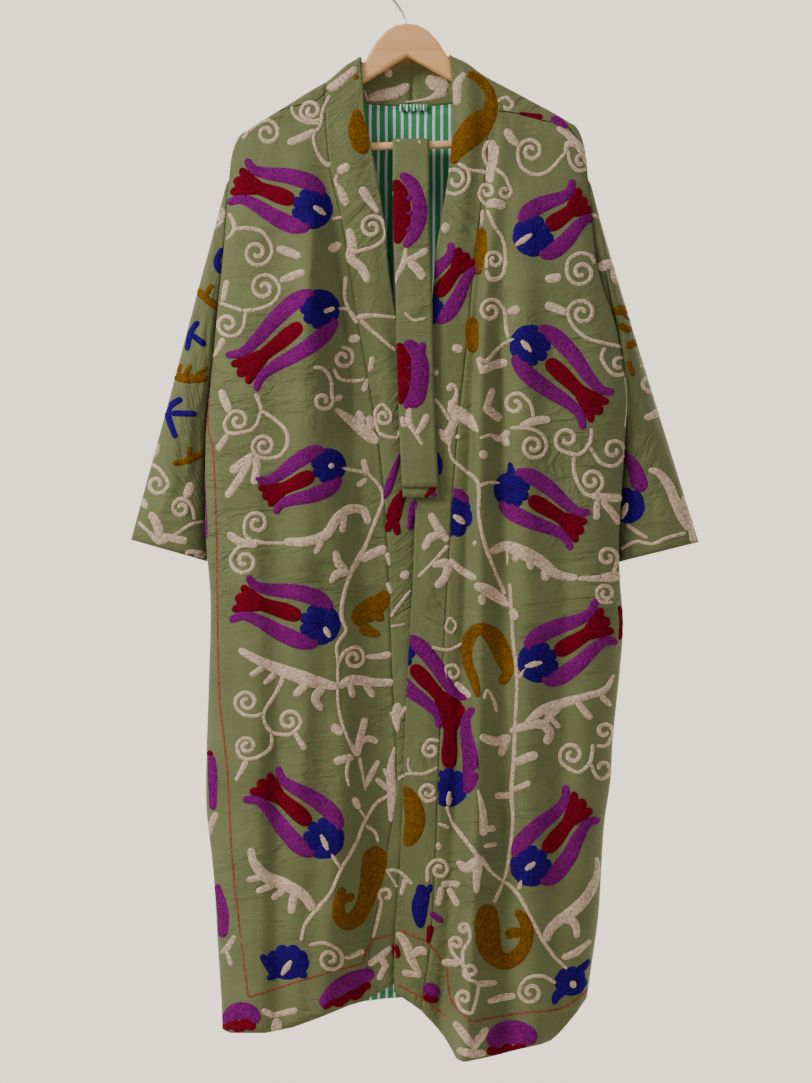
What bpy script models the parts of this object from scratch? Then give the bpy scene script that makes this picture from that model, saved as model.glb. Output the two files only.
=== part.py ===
"""A long embroidered coat with a neck band, hanging on a wooden hanger with its belt over the bar.

Sizes are in millimetres and are turned into metres where points are placed. Drops are measured down
from the inside of the hook's bend, which is the origin. +X is to the right of somebody who faces the
front of the coat, -Y is towards them and +Z is up.
"""
import math
from bisect import bisect

import bmesh
import bpy
import numpy as np

MM = 0.001

# Cloth
CLOTH = 2.0
LINING = 1.2
BAND_CLOTH = 2.4
SEAM_GAP = 0.3
LINING_SPACE = 0.7

# The tables of the coat hold widths and drops as they look from here, level with the eye.
# A point nearer to the eye looks larger, so place() draws it in.
VIEW_DISTANCE = 1700.0
EYE_DROP = 727.0
# Cloth close round an arm or the bar keeps the wood's real size, so this much depth isn't drawn in there.
WRAP_DEPTH = 8.0
WRAP_END = 400.0

# Hanger
BOARD = 12.0
BOARD_EDGE = 4.0
HANGER_TILT = math.radians(1.4)
LIFT = 2.4
BAR_RADIUS = 5.0
BAR_DROP = 224.3
BAR_HALF = 194.0
BELT_TURN = 7.6
BORE_FIT = 0.3
WIRE_RADIUS = 1.8
HOOK_RADIUS = 22.0
STEM_END = 83.0

# Half of the board's outline, from the top of its hump round the arm's tip to the notch below the hump
# columns: out, drop
BOARD_TOP = [
    (0, 70.0),
    (14, 72.0),
    (27, 79.5),
    (41, 95.0),
    (48, 107.5),
    (54, 116.5),
    (62, 123.0),
    (75, 130.5),
    (98, 143.0),
    (150, 172.5),
    (192, 196.5),
    (204, 204.5),
]
BOARD_TIP = [(210.5, 211.5), (212.5, 220.0), (211.0, 230.0), (205.5, 236.5), (198.0, 236.0)]
BOARD_BOTTOM = [(178, 222.5), (120, 184.0), (80, 157.8), (40, 134.8), (4, 113.4), (0, 111.7)]

# How the cloth turns over an arm. columns: fall below the crest, share of the depth reached
OVER_ARM = [(0.0, 0.0), (0.25, 0.35), (2.0, 0.75), (5.2, 0.97), (9.5, 1.0)]

# Depths of the front and the back away from the hanger. columns: fall below the crest, depth
FRONT_DEPTH = [
    (0, 8), (22, 8.8), (60, 14), (110, 24), (200, 34), (320, 41), (450, 46), (650, 51), (900, 57), (1220, 64),
]
BACK_DEPTH = [(0, 8), (22, 8.6), (60, 12), (120, 16), (220, 19), (450, 21), (800, 24), (1220, 27)]

# Where each front is sewn to its band. columns: drop, out, depth towards the viewer
SEAM_LINE = {
    "left": [
        (140, 98, 8), (161, 101, 9), (250, 95, 13), (324, 79, 15), (434, 62, 17), (522, 46, 19),
        (616, 31, 21), (734, 22, 23), (880, 16.5, 25), (1033, 10.5, 27), (1132, 24, 28),
        (1189, 34, 29), (1236, 44, 30), (1311, 54, 31),
    ],
    "right": [
        (140, 105, 8), (180, 106, 10), (250, 103, 14), (340, 92, 18), (393, 86, 20), (471, 79, 22),
        (573, 68, 24), (674, 60, 26), (773, 54, 28), (928, 46, 31), (1033, 42, 32), (1114, 39, 33),
        (1240, 32, 34), (1322, 20, 35),
    ],
}

# The band's free edge. columns: drop, across, depth towards the viewer
FREE_EDGE = {
    "left": [
        (113, -56, 8), (150, -53, 10), (192, -50, 12), (240, -40, 13), (315, -27, 14), (382, -20, 14.5),
        (434, -12, 15), (522, 1, 16), (616, 15, 17), (734, 24, 18), (880, 30, 20), (1033, 35, 21),
        (1132, 22, 22), (1189, 12, 22.5), (1236, 3, 23), (1285, -8, 24),
    ],
    "right": [
        (113, 56, 8), (150, 59, 11), (192, 60, 14), (245, 57, 16), (314, 47, 18), (362, 39, 19),
        (403, 36, 20), (471, 30, 22), (573, 20, 24), (674, 14, 26), (773, 10, 28), (928, 1.5, 30),
        (1081, -4, 31), (1149, -7, 31), (1218, -12.5, 31.5), (1298, -14, 32),
    ],
}
# How far the middle of the band stands out of its edges. columns: drop, roll
BAND_ROLL = {
    "left": [(140, 0.5), (220, 2.5), (400, 2), (700, 1), (1320, 1)],
    "right": [(140, 2), (190, 8), (260, 6), (400, 3), (700, 1), (1320, 1)],
}

# The side seams. columns: drop, out, depth towards the viewer
SIDE_LINE = {
    "left": [
        (267, 222, 0), (310, 225, 1), (366, 230, 2), (420, 236, 3), (476, 241, 5), (526, 246, 8),
        (596, 252, 10), (719, 252, 12), (801, 246, 12), (903, 248, 12), (996, 251, 12), (1068, 251, 12),
        (1121, 245, 12), (1164, 241, 12), (1233, 237, 12), (1312, 232, 12), (1346, 231, 12),
    ],
    "right": [
        (267, 231, 0), (310, 235, 1), (366, 241, 2), (406, 251, 3), (440, 263, 4), (480, 273, 5),
        (537, 281, 10), (608, 278, 12), (719, 271, 12), (774, 272, 12), (829, 276, 12), (880, 273, 12),
        (978, 263, 12), (1031, 260, 12), (1086, 252, 12), (1198, 245, 12), (1251, 238, 12), (1306, 230, 12),
    ],
}
SIDE_ROUND = 0.74
SEAM_FLAT = 0.025
ARMHOLE_TOP = 267.0
ARMHOLE_END = 480.0
ARMHOLE_HALF = 12.0

# The hems. columns: share of the panel's width, drop
FRONT_HEM = {
    "left": [(0, 1311), (0.1, 1316), (0.3, 1331), (0.5, 1344), (0.7, 1351), (0.95, 1351), (1, 1346)],
    "right": [
        (0, 1322), (0.14, 1354), (0.23, 1384), (0.29, 1388), (0.4, 1382), (0.57, 1373), (0.73, 1365),
        (0.8, 1359), (0.87, 1343), (0.94, 1325), (1, 1306),
    ],
}
BACK_HEM = [(0, 1346), (0.1, 1333), (0.3, 1316), (0.45, 1307), (0.6, 1303), (0.8, 1304), (1, 1306)]

# The neck seam of the back, and the band's free edge behind the neck
CENTRE_BACK = 9.0
NECK_DROP = 172.0
CREST_FREE = {"left": 112.5, "right": 110.5}
CENTRE_FREE = 111.0
NECK_PUSH = 6.0
# The band bows up between its edges where it lies over an arm, and its corner there is cut back.
BAND_ARCH = 2.2
CORNER_CUT = 0.6
# columns: share of the half neck, seam's fall, free edge's distance out from the centre back as a share,
# free edge's fall, free edge's depth
NECK_ROWS = [
    (0.0, 0.0, 1.0, 0.0, 0.0),
    (0.004, 0.25, 0.998, 0.25, 2.8),
    (0.013, 2.0, 0.99, 2.0, 6.0),
    (0.028, 5.2, 0.98, 3.6, 8.2),
    (0.065, 10.0, 0.95, 4.2, 10.5),
    (0.17, 17.0, 0.87, 3.6, 13.0),
    (0.30, 22.5, 0.76, 2.6, 15.5),
    (0.49, 28.0, 0.60, 1.4, 17.5),
    (0.71, 30.3, 0.34, 0.4, 19.0),
    (1.0, 30.6, 0.0, 0.0, 20.0),
]

# The main folds of each panel. columns: drop, across, half width, height towards the outside, lean across
FOLDS = {
    "left": {
        "chest ridge": [
            (230, -124, 24, 0, 0), (420, -124, 22, 9, 0), (700, -128, 24, 7, 0), (1360, -140, 26, 8, 0),
        ],
        "seam trough": [
            (260, -92, 16, 0, 0), (420, -84, 15, -8, 0), (620, -66, 16, -8, 0), (900, -52, 18, -3, 0),
        ],
        "side ridge": [(560, -195, 20, 0, 0), (760, -192, 20, 6, 0), (1360, -182, 22, 8, 0)],
        "hem trough": [(860, -160, 15, 0, 0), (1080, -162, 15, -6, 0), (1360, -160, 16, -7, 0)],
        "front ridge": [(900, -70, 18, 0, 0), (1120, -84, 20, 8, 0), (1330, -96, 20, 12, 0)],
    },
    "right": {
        "band trough": [
            (200, 112, 14, 0, 0), (393, 96, 12, -6, 0), (573, 82, 11, -8, 0), (720, 78, 11, -8, 0),
            (1000, 66, 14, -8, 0), (1340, 44, 16, -10, 0),
        ],
        "hanging ridge": [
            (190, 126, 14, 0, 0), (320, 112, 12, 12, -5), (471, 102, 12, 16, -7), (720, 100, 12, 15, -6),
            (900, 98, 13, 14, -5), (1100, 93, 14, 22, -5), (1390, 82, 15, 36, -5),
        ],
        "second trough": [
            (380, 128, 10, 0, 0), (520, 124, 10, -8, 0), (760, 124, 12, -8, 0), (1340, 126, 16, -4, 0),
        ],
        "chest ridge": [
            (260, 156, 22, 0, 0), (440, 152, 22, 8, 0), (760, 154, 22, 8, 0), (1370, 160, 26, 12, 0),
        ],
        "side trough": [(620, 208, 16, 0, 0), (820, 204, 16, -7, 0), (1360, 192, 16, -5, 0)],
    },
    "back": {
        "left ridge": [(300, -140, 26, 0, 0), (520, -146, 26, 7, 0), (1340, -160, 28, 12, 0)],
        "left trough": [(360, -84, 20, 0, 0), (600, -88, 20, -6, 0), (1340, -96, 24, -8, 0)],
        "centre ridge": [(260, 4, 26, 0, 0), (560, 0, 28, 6, 0), (1310, -12, 30, 10, 0)],
        "right trough": [(380, 92, 20, 0, 0), (620, 96, 20, -6, 0), (1310, 92, 24, -8, 0)],
        "right ridge": [(300, 150, 26, 0, 0), (540, 160, 26, 7, 0), (1310, 156, 28, 12, 0)],
    },
}

# The sleeves. columns: share of the length, outer edge out, outer edge drop, inner edge drop,
# depth of the middle behind the hanger, half depth
SLEEVE = {
    "left": [
        (0.0, 224.5, 268, 479, 0, 11), (0.12, 239, 322, 512, 2, 15), (0.35, 267, 427, 574, 5, 21),
        (0.6, 297, 541, 641, 7, 24), (0.8, 322, 633, 697, 8, 25), (1.0, 347, 725, 752, 9, 25),
    ],
    "right": [
        (0.0, 233.5, 268, 479, 0, 11), (0.12, 248, 322, 512, 2, 15), (0.35, 279, 427, 574, 5, 21),
        (0.6, 314, 541, 641, 7, 24), (0.8, 343, 634, 697, 8, 25), (1.0, 372, 728, 753, 9, 25),
    ],
}
SLEEVE_CLEAR = {"left": 2.5, "right": 3.6}
SLEEVE_RINGS = 12
SLEEVE_ROUND = 20

# The belt, folded over the bar. columns: drop, middle across, depth towards the viewer
BELT_FRONT = [
    (232, 7.5, 9.5), (260, 7.5, 12.5), (305, 7.5, 19), (360, 9, 26), (410, 11, 30.5), (460, 12, 32),
    (520, 13.5, 33), (580, 15.5, 34), (620, 17.5, 35), (658, 19.5, 36),
]
BELT_WIDTH = 46.0
BELT_CLOTH = 2.2
BELT_END = {"front": 658.0, "rear": 671.0}
BELT_REAR_SHIFT = 4.5
BELT_SPACE = 3.0

# Rows of a panel: falls below its top edge, then even steps to the hem
TOP_FALLS = [fall for fall, _ in OVER_ARM] + [24, 50, 85, 125]
LOWER_ROWS = 17

GREEN = (0.235, 0.262, 0.130, 1)
STRIPE_GREEN = (0.030, 0.235, 0.078, 1)
WOOD = (0.610, 0.380, 0.205, 1)
STEEL = (0.550, 0.550, 0.540, 1)


def reading(rows, at):
    """Smoothly reads a table, by its first column, and gives the other columns."""
    at = min(max(at, rows[0][0]), rows[-1][0])
    k = min(max(bisect([row[0] for row in rows], at) - 1, 0), len(rows) - 2)
    near, far = np.array(rows[k], float), np.array(rows[k + 1], float)
    before = np.array(rows[max(k - 1, 0)], float)
    after = np.array(rows[min(k + 2, len(rows) - 1)], float)
    step = far[0] - near[0]
    near_slope = (far - before) / max(far[0] - before[0], 1e-9) * step
    far_slope = (after - near) / max(after[0] - near[0], 1e-9) * step
    u = (at - near[0]) / step
    value = (
        (2 * u**3 - 3 * u**2 + 1) * near
        + (u**3 - 2 * u**2 + u) * near_slope
        + (3 * u**2 - 2 * u**3) * far
        + (u**3 - u**2) * far_slope
    )
    return value[1:]


def plain_reading(rows, at):
    """Reads one column of a table in straight lines between its rows."""
    return float(np.interp(at, [row[0] for row in rows], [row[1] for row in rows]))


def ease(share):
    share = min(max(share, 0.0), 1.0)
    return share * share * (3 - 2 * share)


def blend(near, far, share):
    return near + (far - near) * share


def place(across, drop, back):
    """Turns a width and a drop as seen, with a depth behind the hanger, into a real point in metres."""
    close = WRAP_DEPTH * (1 - ease((drop - WRAP_END + 150) / 150))
    draw_in = 1 + math.copysign(max(abs(back) - close, 0.0), back) / VIEW_DISTANCE
    real_drop = EYE_DROP + (drop - EYE_DROP) * draw_in
    return (across * draw_in * MM, back * MM, -real_drop * MM)


def tilted(out, drop):
    """Turns a point of the hanger about the hook, because its right arm hangs a little higher."""
    cos, sin = math.cos(HANGER_TILT), math.sin(HANGER_TILT)
    return out * cos + drop * sin, drop * cos - out * sin


SIGN = {"left": -1, "right": 1}
ARM_LINE = sorted(
    tilted(sign * out, drop - LIFT) for sign in (-1, 1) for out, drop in BOARD_TOP if out or sign > 0
)


def crest(across):
    """Drop of the shoulder line: over the arm, then rounding off its tip down to the armhole."""
    side = "left" if across < 0 else "right"
    tip = abs(ARM_LINE[0][0] if across < 0 else ARM_LINE[-1][0])
    out = abs(across)
    over = float(reading(ARM_LINE, across)[0])
    if out <= tip:
        return over
    edge = SIDE_LINE[side][0][1]
    u = min((out - tip) / (edge - tip), 1.0)
    return over + (ARMHOLE_TOP - over) * (1 - math.sqrt(1 - u * u))


def turned_over(fall):
    """Share of the depth that the cloth has reached after turning over an arm."""
    return plain_reading(OVER_ARM, fall)


def armhole(drop):
    """Half of the gap between front and back where the sleeve is set in."""
    u = (drop - ARMHOLE_TOP) / (ARMHOLE_END - ARMHOLE_TOP)
    if not 0 < u < 1:
        return 0.0
    return ARMHOLE_HALF * math.sqrt(math.sin(math.pi * u))


def folds(panel, across, drop):
    """Height and sideways lean of the panel's folds at one place."""
    height, lean = 0.0, 0.0
    for rows in FOLDS[panel].values():
        if drop <= rows[0][0]:
            continue
        middle, half, high, slant = reading(rows, drop)
        bump = math.exp(-(((across - middle) / half) ** 2))
        height += high * bump
        lean += slant * bump
    return height, lean


def side_columns(start, count):
    """Columns that round off towards a side seam, as pairs of share across and share of the depth."""
    pairs = []
    for k in range(1, count + 1):
        angle = math.radians(90 * k / count)
        across = min(math.sin(angle) / math.sin(math.radians(90 * (count - 1) / count)), 1.0)
        pairs.append((start + (1 - start) * across, math.cos(angle)))
    return pairs


def new_object(name, mesh, colour, roughness, metallic=0.0):
    """Links a mesh or curve as a named part with its own Principled material."""
    piece = bpy.data.objects.new(name, mesh)
    parts.objects.link(piece)
    material = bpy.data.materials.new(name)
    material.use_nodes = True
    shader = material.node_tree.nodes["Principled BSDF"]
    shader.inputs["Base Color"].default_value = colour
    shader.inputs["Roughness"].default_value = roughness
    shader.inputs["Metallic"].default_value = metallic
    mesh.materials.append(material)
    return piece


def wall(name, rows, thickness, colour, closed=False):
    """Makes a cloth wall through rows of points, all rows of one length."""
    across, down = len(rows[0]), len(rows)
    mesh = bpy.data.meshes.new(name)
    shape = bmesh.new()
    bmesh.ops.create_grid(shape, x_segments=across - 1, y_segments=down - 1, size=1)
    shape.verts.ensure_lookup_table()
    for k, vert in enumerate(shape.verts):
        vert.co = rows[k // across][k % across]
    if closed:
        bmesh.ops.remove_doubles(shape, verts=shape.verts, dist=0.00005)
    bmesh.ops.recalc_face_normals(shape, faces=shape.faces)
    shape.to_mesh(mesh)
    shape.free()
    piece = new_object(name, mesh, colour, 0.85)
    mesh.shade_smooth()
    solid = piece.modifiers.new("Thickness", "SOLIDIFY")
    solid.thickness = thickness * MM
    solid.offset = 0
    return piece


def panel_drops(top, hem):
    """Drops of a panel's rows in one column, from its top edge to its hem."""
    last = TOP_FALLS[-1]
    steps = [top + fall for fall in TOP_FALLS]
    steps += [blend(top + last, hem, k / LOWER_ROWS) for k in range(1, LOWER_ROWS + 1)]
    return steps


def front_point(side, across, depth_share, top, drop):
    """A point of a front: across from the band's seam to the side, and at a drop."""
    sign = SIGN[side]
    seam_out, seam_depth = reading(SEAM_LINE[side], drop)
    side_out, side_depth = reading(SIDE_LINE[side], drop)
    seen = sign * blend(seam_out + SEAM_GAP / 2, side_out, across)
    flat = reading(FRONT_DEPTH, drop - top)[0]
    high, lean = folds(side, seen, drop)
    settled = ease((across - SEAM_FLAT) / 0.12)
    flat = blend(seam_depth, flat, ease((across - SEAM_FLAT) / 0.32)) + high * settled
    edge = side_depth + armhole(drop) + SEAM_GAP / 2
    depth = blend(edge, flat, depth_share) * turned_over(drop - top)
    depth = max(depth, SEAM_GAP / 2)
    return place(seen + lean * depth_share * settled, drop, -depth)


def make_front(side):
    shares = [(0.0, 1.0)] + [(blend(SEAM_FLAT, 0.7, k / 11), 1.0) for k in range(12)]
    shares += side_columns(SIDE_ROUND, 5)
    columns = []
    for across, depth_share in shares:
        seam_out = SEAM_LINE[side][0][1]
        side_out = SIDE_LINE[side][0][1]
        top = crest(SIGN[side] * blend(seam_out, side_out, across))
        hem = plain_reading(FRONT_HEM[side], across)
        drops = panel_drops(top, hem)
        columns.append([front_point(side, across, depth_share, top, drop) for drop in drops])
    wall(f"front_{side}", list(zip(*columns)), CLOTH, GREEN)


def neck_seam(side, share, fall):
    """Across and drop of a station on the back neck seam."""
    sign = SIGN[side]
    out = SEAM_LINE[side][0][1]
    shoulder = sign * out
    top = crest(shoulder)
    across = blend(shoulder, CENTRE_BACK, share)
    drop = top + fall * (NECK_DROP - top) / NECK_ROWS[-1][1]
    return across, drop


def back_depth(across, drop, ridge):
    fall = drop - ridge
    push = NECK_PUSH * ease((88 - abs(across)) / 40) * ease((drop - 140) / 12)
    return (reading(BACK_DEPTH, fall)[0] + push) * turned_over(fall)


def back_columns():
    """Columns of the back at its top edge: across, drop, crest there, share of the depth."""
    columns = []
    for side in ("left", "right"):
        sign = SIGN[side]
        edge, seam = SIDE_LINE[side][0][1], SEAM_LINE[side][0][1]
        half = []
        for share, depth_share in reversed(side_columns(0.9, 4)):
            across = sign * edge * share
            half.append((across, crest(across), crest(across), depth_share))
        for k in range(4):
            across = sign * blend(edge * 0.88, seam + 9, k / 3)
            half.append((across, crest(across), crest(across), 1.0))
        for share, fall, *_ in NECK_ROWS:
            across, drop = neck_seam(side, share, fall)
            half.append((across, drop, crest(sign * seam), 1.0))
        columns += half if side == "left" else half[::-1][1:]
    return columns


def back_point(even, top_across, top, ridge, depth_share, drop):
    """A point of the back. Its columns start at the stations of the top edge and spread evenly below."""
    left_out, left_depth = reading(SIDE_LINE["left"], drop)
    right_out, right_depth = reading(SIDE_LINE["right"], drop)
    first_left, first_right = SIDE_LINE["left"][0][1], SIDE_LINE["right"][0][1]
    share = (top_across + first_left) / (first_left + first_right)
    share = blend(share, even, ease((drop - top - 60) / 320))
    seen = blend(-left_out, right_out, share)
    high, lean = folds("back", seen, drop)
    flat = back_depth(seen, drop, ridge) + high
    side_depth = left_depth if seen < 0 else right_depth
    edge = armhole(drop) + SEAM_GAP / 2 - side_depth
    behind = blend(edge, flat, depth_share)
    if drop - ridge < OVER_ARM[-1][0]:
        behind = max(behind, 0) * (1 if depth_share == 1 else turned_over(drop - ridge))
    return seen + lean * depth_share, drop, max(behind, SEAM_GAP / 2 - side_depth)


def back_grid():
    """The back as rows of across, drop and depth, for the back itself and for its lining."""
    columns = back_columns()
    count = len(columns)
    rounded = sum(1 for column in columns if column[3] < 1) // 2
    grid = []
    for k, (across, top, ridge, depth_share) in enumerate(columns):
        inner = (k - rounded) / (count - 1 - 2 * rounded)
        first = (columns[rounded][0] + SIDE_LINE["left"][0][1]) / (
            SIDE_LINE["left"][0][1] + SIDE_LINE["right"][0][1]
        )
        even = blend(first, 1 - first, inner)
        if depth_share < 1:
            even = (across + SIDE_LINE["left"][0][1]) / (SIDE_LINE["left"][0][1] + SIDE_LINE["right"][0][1])
        hem = plain_reading(BACK_HEM, even)
        drops = panel_drops(top + SEAM_GAP / 2, hem)
        grid.append([back_point(even, across, top, ridge, depth_share, drop) for drop in drops])
    return grid


def make_back():
    columns = [[place(*point) for point in column] for column in back_grid()]
    wall("back", list(zip(*columns)), CLOTH, GREEN)


def make_lining():
    """The striped lining of the back, a thin wall inside it, from below the arms to the hem."""
    inward = CLOTH / 2 + LINING_SPACE + LINING / 2
    rounded = sum(1 for column in back_columns() if column[3] < 1) // 2
    under_arm = sorted(
        tilted(sign * out, drop)
        for sign in (-1, 1)
        for out, drop in BOARD_BOTTOM + BOARD_TIP[-1:]
        if out or sign > 0
    )
    settled = TOP_FALLS.index(85)
    columns = []
    for column in back_grid()[rounded + 1 : -rounded - 1]:
        drops = [point[1] for point in column]
        first = max(drops[0] + 4, plain_reading(under_arm, column[0][0]) + 9)
        kept = [first, blend(first, drops[settled], 0.5)] + drops[settled:-1] + [drops[-1] - 10]
        points = []
        for drop in kept:
            across = float(np.interp(drop, drops, [point[0] for point in column]))
            behind = float(np.interp(drop, drops, [point[2] for point in column]))
            points.append(place(across, drop, behind - inward))
        columns.append(points)
    wall("lining_back", list(zip(*columns)), LINING, STRIPE_GREEN)


def band_rows(side):
    """Rows of the band from the centre back over the arm and down the front: seam and free edge points."""
    sign = SIGN[side]
    seam_out = SEAM_LINE[side][0][1]
    top = crest(sign * seam_out)
    free_start = FREE_EDGE[side][0][1]
    rows = []
    for share, fall, free_share, free_fall, free_behind in reversed(NECK_ROWS):
        across, drop = neck_seam(side, share, fall)
        centre_gap = sign * SEAM_GAP / 2 * (1 if share == 1 else 0)
        behind = back_depth(across, drop, top)
        corner = CORNER_CUT if 0.0 < share < 0.1 else 0.0
        inward = -sign * (SEAM_GAP / 2 * (1 if share < 0.03 else 0) + corner)
        seam = (across + centre_gap + inward, drop - SEAM_GAP / 2 * ease(share / 0.05) - corner, behind)
        free_across = blend(CENTRE_BACK, free_start, free_share) + centre_gap
        free_drop = blend(CENTRE_FREE, CREST_FREE[side], free_share) + free_fall
        arch = BAND_ARCH * (1 - ease(fall / 14))
        rows.append((seam, (free_across, free_drop, free_behind), 0.0, arch))
    hem = FRONT_HEM[side][0][1]
    free_hem = FREE_EDGE[side][-1][0]
    for drop in panel_drops(top, hem)[1:]:
        share = (drop - top) / (hem - top)
        out, depth = reading(SEAM_LINE[side], drop)
        turned = turned_over(drop - top)
        seam = (sign * (out - SEAM_GAP / 2), drop, -depth * turned)
        free_drop = blend(CREST_FREE[side], free_hem, share)
        free_across, free_depth = reading(FREE_EDGE[side], free_drop)
        free = (free_across, free_drop, -free_depth * turned_over(free_drop - CREST_FREE[side]))
        arch = BAND_ARCH * (1 - ease((drop - top) / 14))
        rows.append((seam, free, reading(BAND_ROLL[side], drop)[0] * turned, arch))
    return rows


def make_band(side):
    points = []
    for seam, free, roll, arch in band_rows(side):
        row = []
        for share in (0.0, 0.1, 0.36, 0.68, 1.0):
            level = ease((share - 0.1) / 0.9)
            across = blend(seam[0], free[0], share)
            drop = blend(seam[1], free[1], share) - arch * math.sin(math.pi * level)
            behind = blend(seam[2], free[2], level) - roll * math.sin(math.pi * level)
            row.append(place(across, drop, behind))
        points.append(row)
    wall(f"band_{side}", points, BAND_CLOTH, GREEN)


def make_sleeve(side):
    sign = SIGN[side]
    points = []
    for ring in range(SLEEVE_RINGS + 1):
        share = (ring / SLEEVE_RINGS) ** 1.15
        outer, outer_drop, inner_drop, middle, half = reading(SLEEVE[side], share)
        inner = reading(SIDE_LINE[side], min(inner_drop, 719))[0] + SLEEVE_CLEAR[side] + 1.5 * share
        row = []
        for k in range(SLEEVE_ROUND + 1):
            turn = math.tau * (k % SLEEVE_ROUND) / SLEEVE_ROUND
            along = (1 + math.cos(turn)) / 2
            across = sign * blend(inner, outer, along)
            drop = blend(inner_drop, outer_drop, along)
            if ring == 0:
                across = sign * (reading(SIDE_LINE[side], drop)[0] + SLEEVE_CLEAR[side])
            row.append(place(across, drop, middle + half * math.sin(turn)))
        points.append(row)
    wall(f"sleeve_{side}", points, CLOTH, GREEN, closed=True)


def belt_path():
    """The belt's middle line from its front end, up over the bar and down to its rear end."""
    end_drop = BELT_END["front"]
    front = []
    for k in range(15):
        drop = blend(end_drop, BELT_FRONT[0][0], k / 14)
        middle, depth = reading(BELT_FRONT, drop)
        front.append((middle, drop, -depth))
    turn = []
    for k in range(7):
        angle = math.pi * k / 6
        turn.append((7.5, BAR_DROP - BELT_TURN * math.sin(angle), -BELT_TURN * math.cos(angle)))
    rear = []
    for k in range(16):
        drop = blend(BELT_FRONT[0][0], BELT_END["rear"], k / 15)
        middle, depth = reading(BELT_FRONT, min(drop, end_drop))
        near_bar = ease((275 - drop) / 45)
        behind = blend(BELT_SPACE - depth, BELT_TURN, near_bar)
        rear.append((middle + BELT_REAR_SHIFT * ease((drop - 232) / 120), drop, behind))
    return front + turn + rear


def make_belt():
    rows = []
    for middle, drop, behind in belt_path():
        rows.append([place(middle + BELT_WIDTH * share, drop, behind) for share in (-0.5, -0.2, 0.2, 0.5)])
    wall("belt", rows, BELT_CLOTH, GREEN)


def mesh_of_curve(curve_object):
    """Turns a curve object into a welded mesh, ready to be cut."""
    graph = bpy.context.evaluated_depsgraph_get()
    mesh = bpy.data.meshes.new_from_object(curve_object.evaluated_get(graph))
    shape = bmesh.new()
    shape.from_mesh(mesh)
    bmesh.ops.remove_doubles(shape, verts=shape.verts, dist=0.00001)
    shape.to_mesh(mesh)
    shape.free()
    mesh.transform(curve_object.matrix_world)
    bpy.data.objects.remove(curve_object)
    return mesh


def make_board():
    """The hanger's wooden board: one outline, sawn from a plank and rounded over."""
    half = BOARD_TOP + BOARD_TIP + BOARD_BOTTOM
    outline = half + [(-out, drop) for out, drop in reversed(half[1:-1])]
    curve = bpy.data.curves.new("board outline", "CURVE")
    curve.dimensions = "2D"
    curve.fill_mode = "BOTH"
    curve.extrude = (BOARD / 2 - BOARD_EDGE) * MM
    curve.bevel_depth = BOARD_EDGE * MM
    curve.bevel_resolution = 1
    curve.offset = -BOARD_EDGE * MM
    spline = curve.splines.new("POLY")
    spline.points.add(len(outline) - 1)
    for point, (out, drop) in zip(spline.points, outline):
        across, down = tilted(out, drop)
        point.co = (across * MM, -down * MM, 0, 1)
    spline.use_cyclic_u = True
    flat = bpy.data.objects.new("board outline", curve)
    parts.objects.link(flat)
    flat.rotation_euler = (math.radians(90), 0, 0)
    bpy.context.view_layer.update()
    mesh = mesh_of_curve(flat)
    board = new_object("hanger_body", mesh, WOOD, 0.45)
    for name, cutter in (("bar bores", bar_cutter()), ("stem bore", stem_cutter())):
        cut = board.modifiers.new(name, "BOOLEAN")
        cut.operation = "DIFFERENCE"
        cut.object = cutter


def rod(name, collection, radius, start, end, sides):
    """A cylinder between two points given as across and drop, in the hanger's plane."""
    first, last = np.array(tilted(*start)), np.array(tilted(*end))
    length = float(np.linalg.norm(last - first))
    bpy.ops.mesh.primitive_cylinder_add(vertices=sides, radius=radius * MM, depth=length * MM)
    piece = bpy.context.object
    piece.name = name
    middle = (first + last) / 2
    piece.location = (middle[0] * MM, 0, -middle[1] * MM)
    piece.rotation_euler = (0, math.atan2(last[0] - first[0], first[1] - last[1]), 0)
    for home in piece.users_collection:
        home.objects.unlink(piece)
    collection.objects.link(piece)
    return piece


def hide_cutter(piece):
    piece.hide_render = True
    piece.display_type = "WIRE"
    return piece


def bar_cutter():
    reach = BAR_HALF + BORE_FIT
    cutter = rod("bar bores", cutters, BAR_RADIUS + BORE_FIT, (-reach, BAR_DROP), (reach, BAR_DROP), 16)
    return hide_cutter(cutter)


def stem_cutter():
    start, end = (0, STEM_END + BORE_FIT), (0, BOARD_TOP[0][1] - 5)
    return hide_cutter(rod("stem bore", cutters, WIRE_RADIUS + BORE_FIT, start, end, 12))


def make_bar():
    bar = rod("hanger_bar", parts, BAR_RADIUS, (-BAR_HALF, BAR_DROP), (BAR_HALF, BAR_DROP), 16)
    material = bpy.data.materials.new("hanger_bar")
    material.use_nodes = True
    shader = material.node_tree.nodes["Principled BSDF"]
    shader.inputs["Base Color"].default_value = WOOD
    shader.inputs["Roughness"].default_value = 0.45
    bar.data.materials.append(material)


def make_hook():
    """The wire hook: a straight stem, a bend to the left, and a round bend over the rail."""
    bend = HOOK_RADIUS + WIRE_RADIUS
    stem = [(0, STEM_END), (0, 70), (-1.4, 64), (-5.6, 54), (-12.6, 43)]
    turn = []
    for k in range(15):
        angle = math.radians(blend(203, -28, k / 14))
        turn.append((bend * math.cos(angle), HOOK_RADIUS - bend * math.sin(angle)))
    curve = bpy.data.curves.new("hanger_hook", "CURVE")
    curve.dimensions = "3D"
    curve.bevel_depth = WIRE_RADIUS * MM
    curve.bevel_resolution = 2
    curve.use_fill_caps = True
    spline = curve.splines.new("POLY")
    points = stem + turn
    spline.points.add(len(points) - 1)
    for point, (out, drop) in zip(spline.points, points):
        across, down = tilted(out, drop)
        point.co = (across * MM, 0, -down * MM, 1)
    new_object("hanger_hook", curve, STEEL, 0.3, 1.0)


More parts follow.
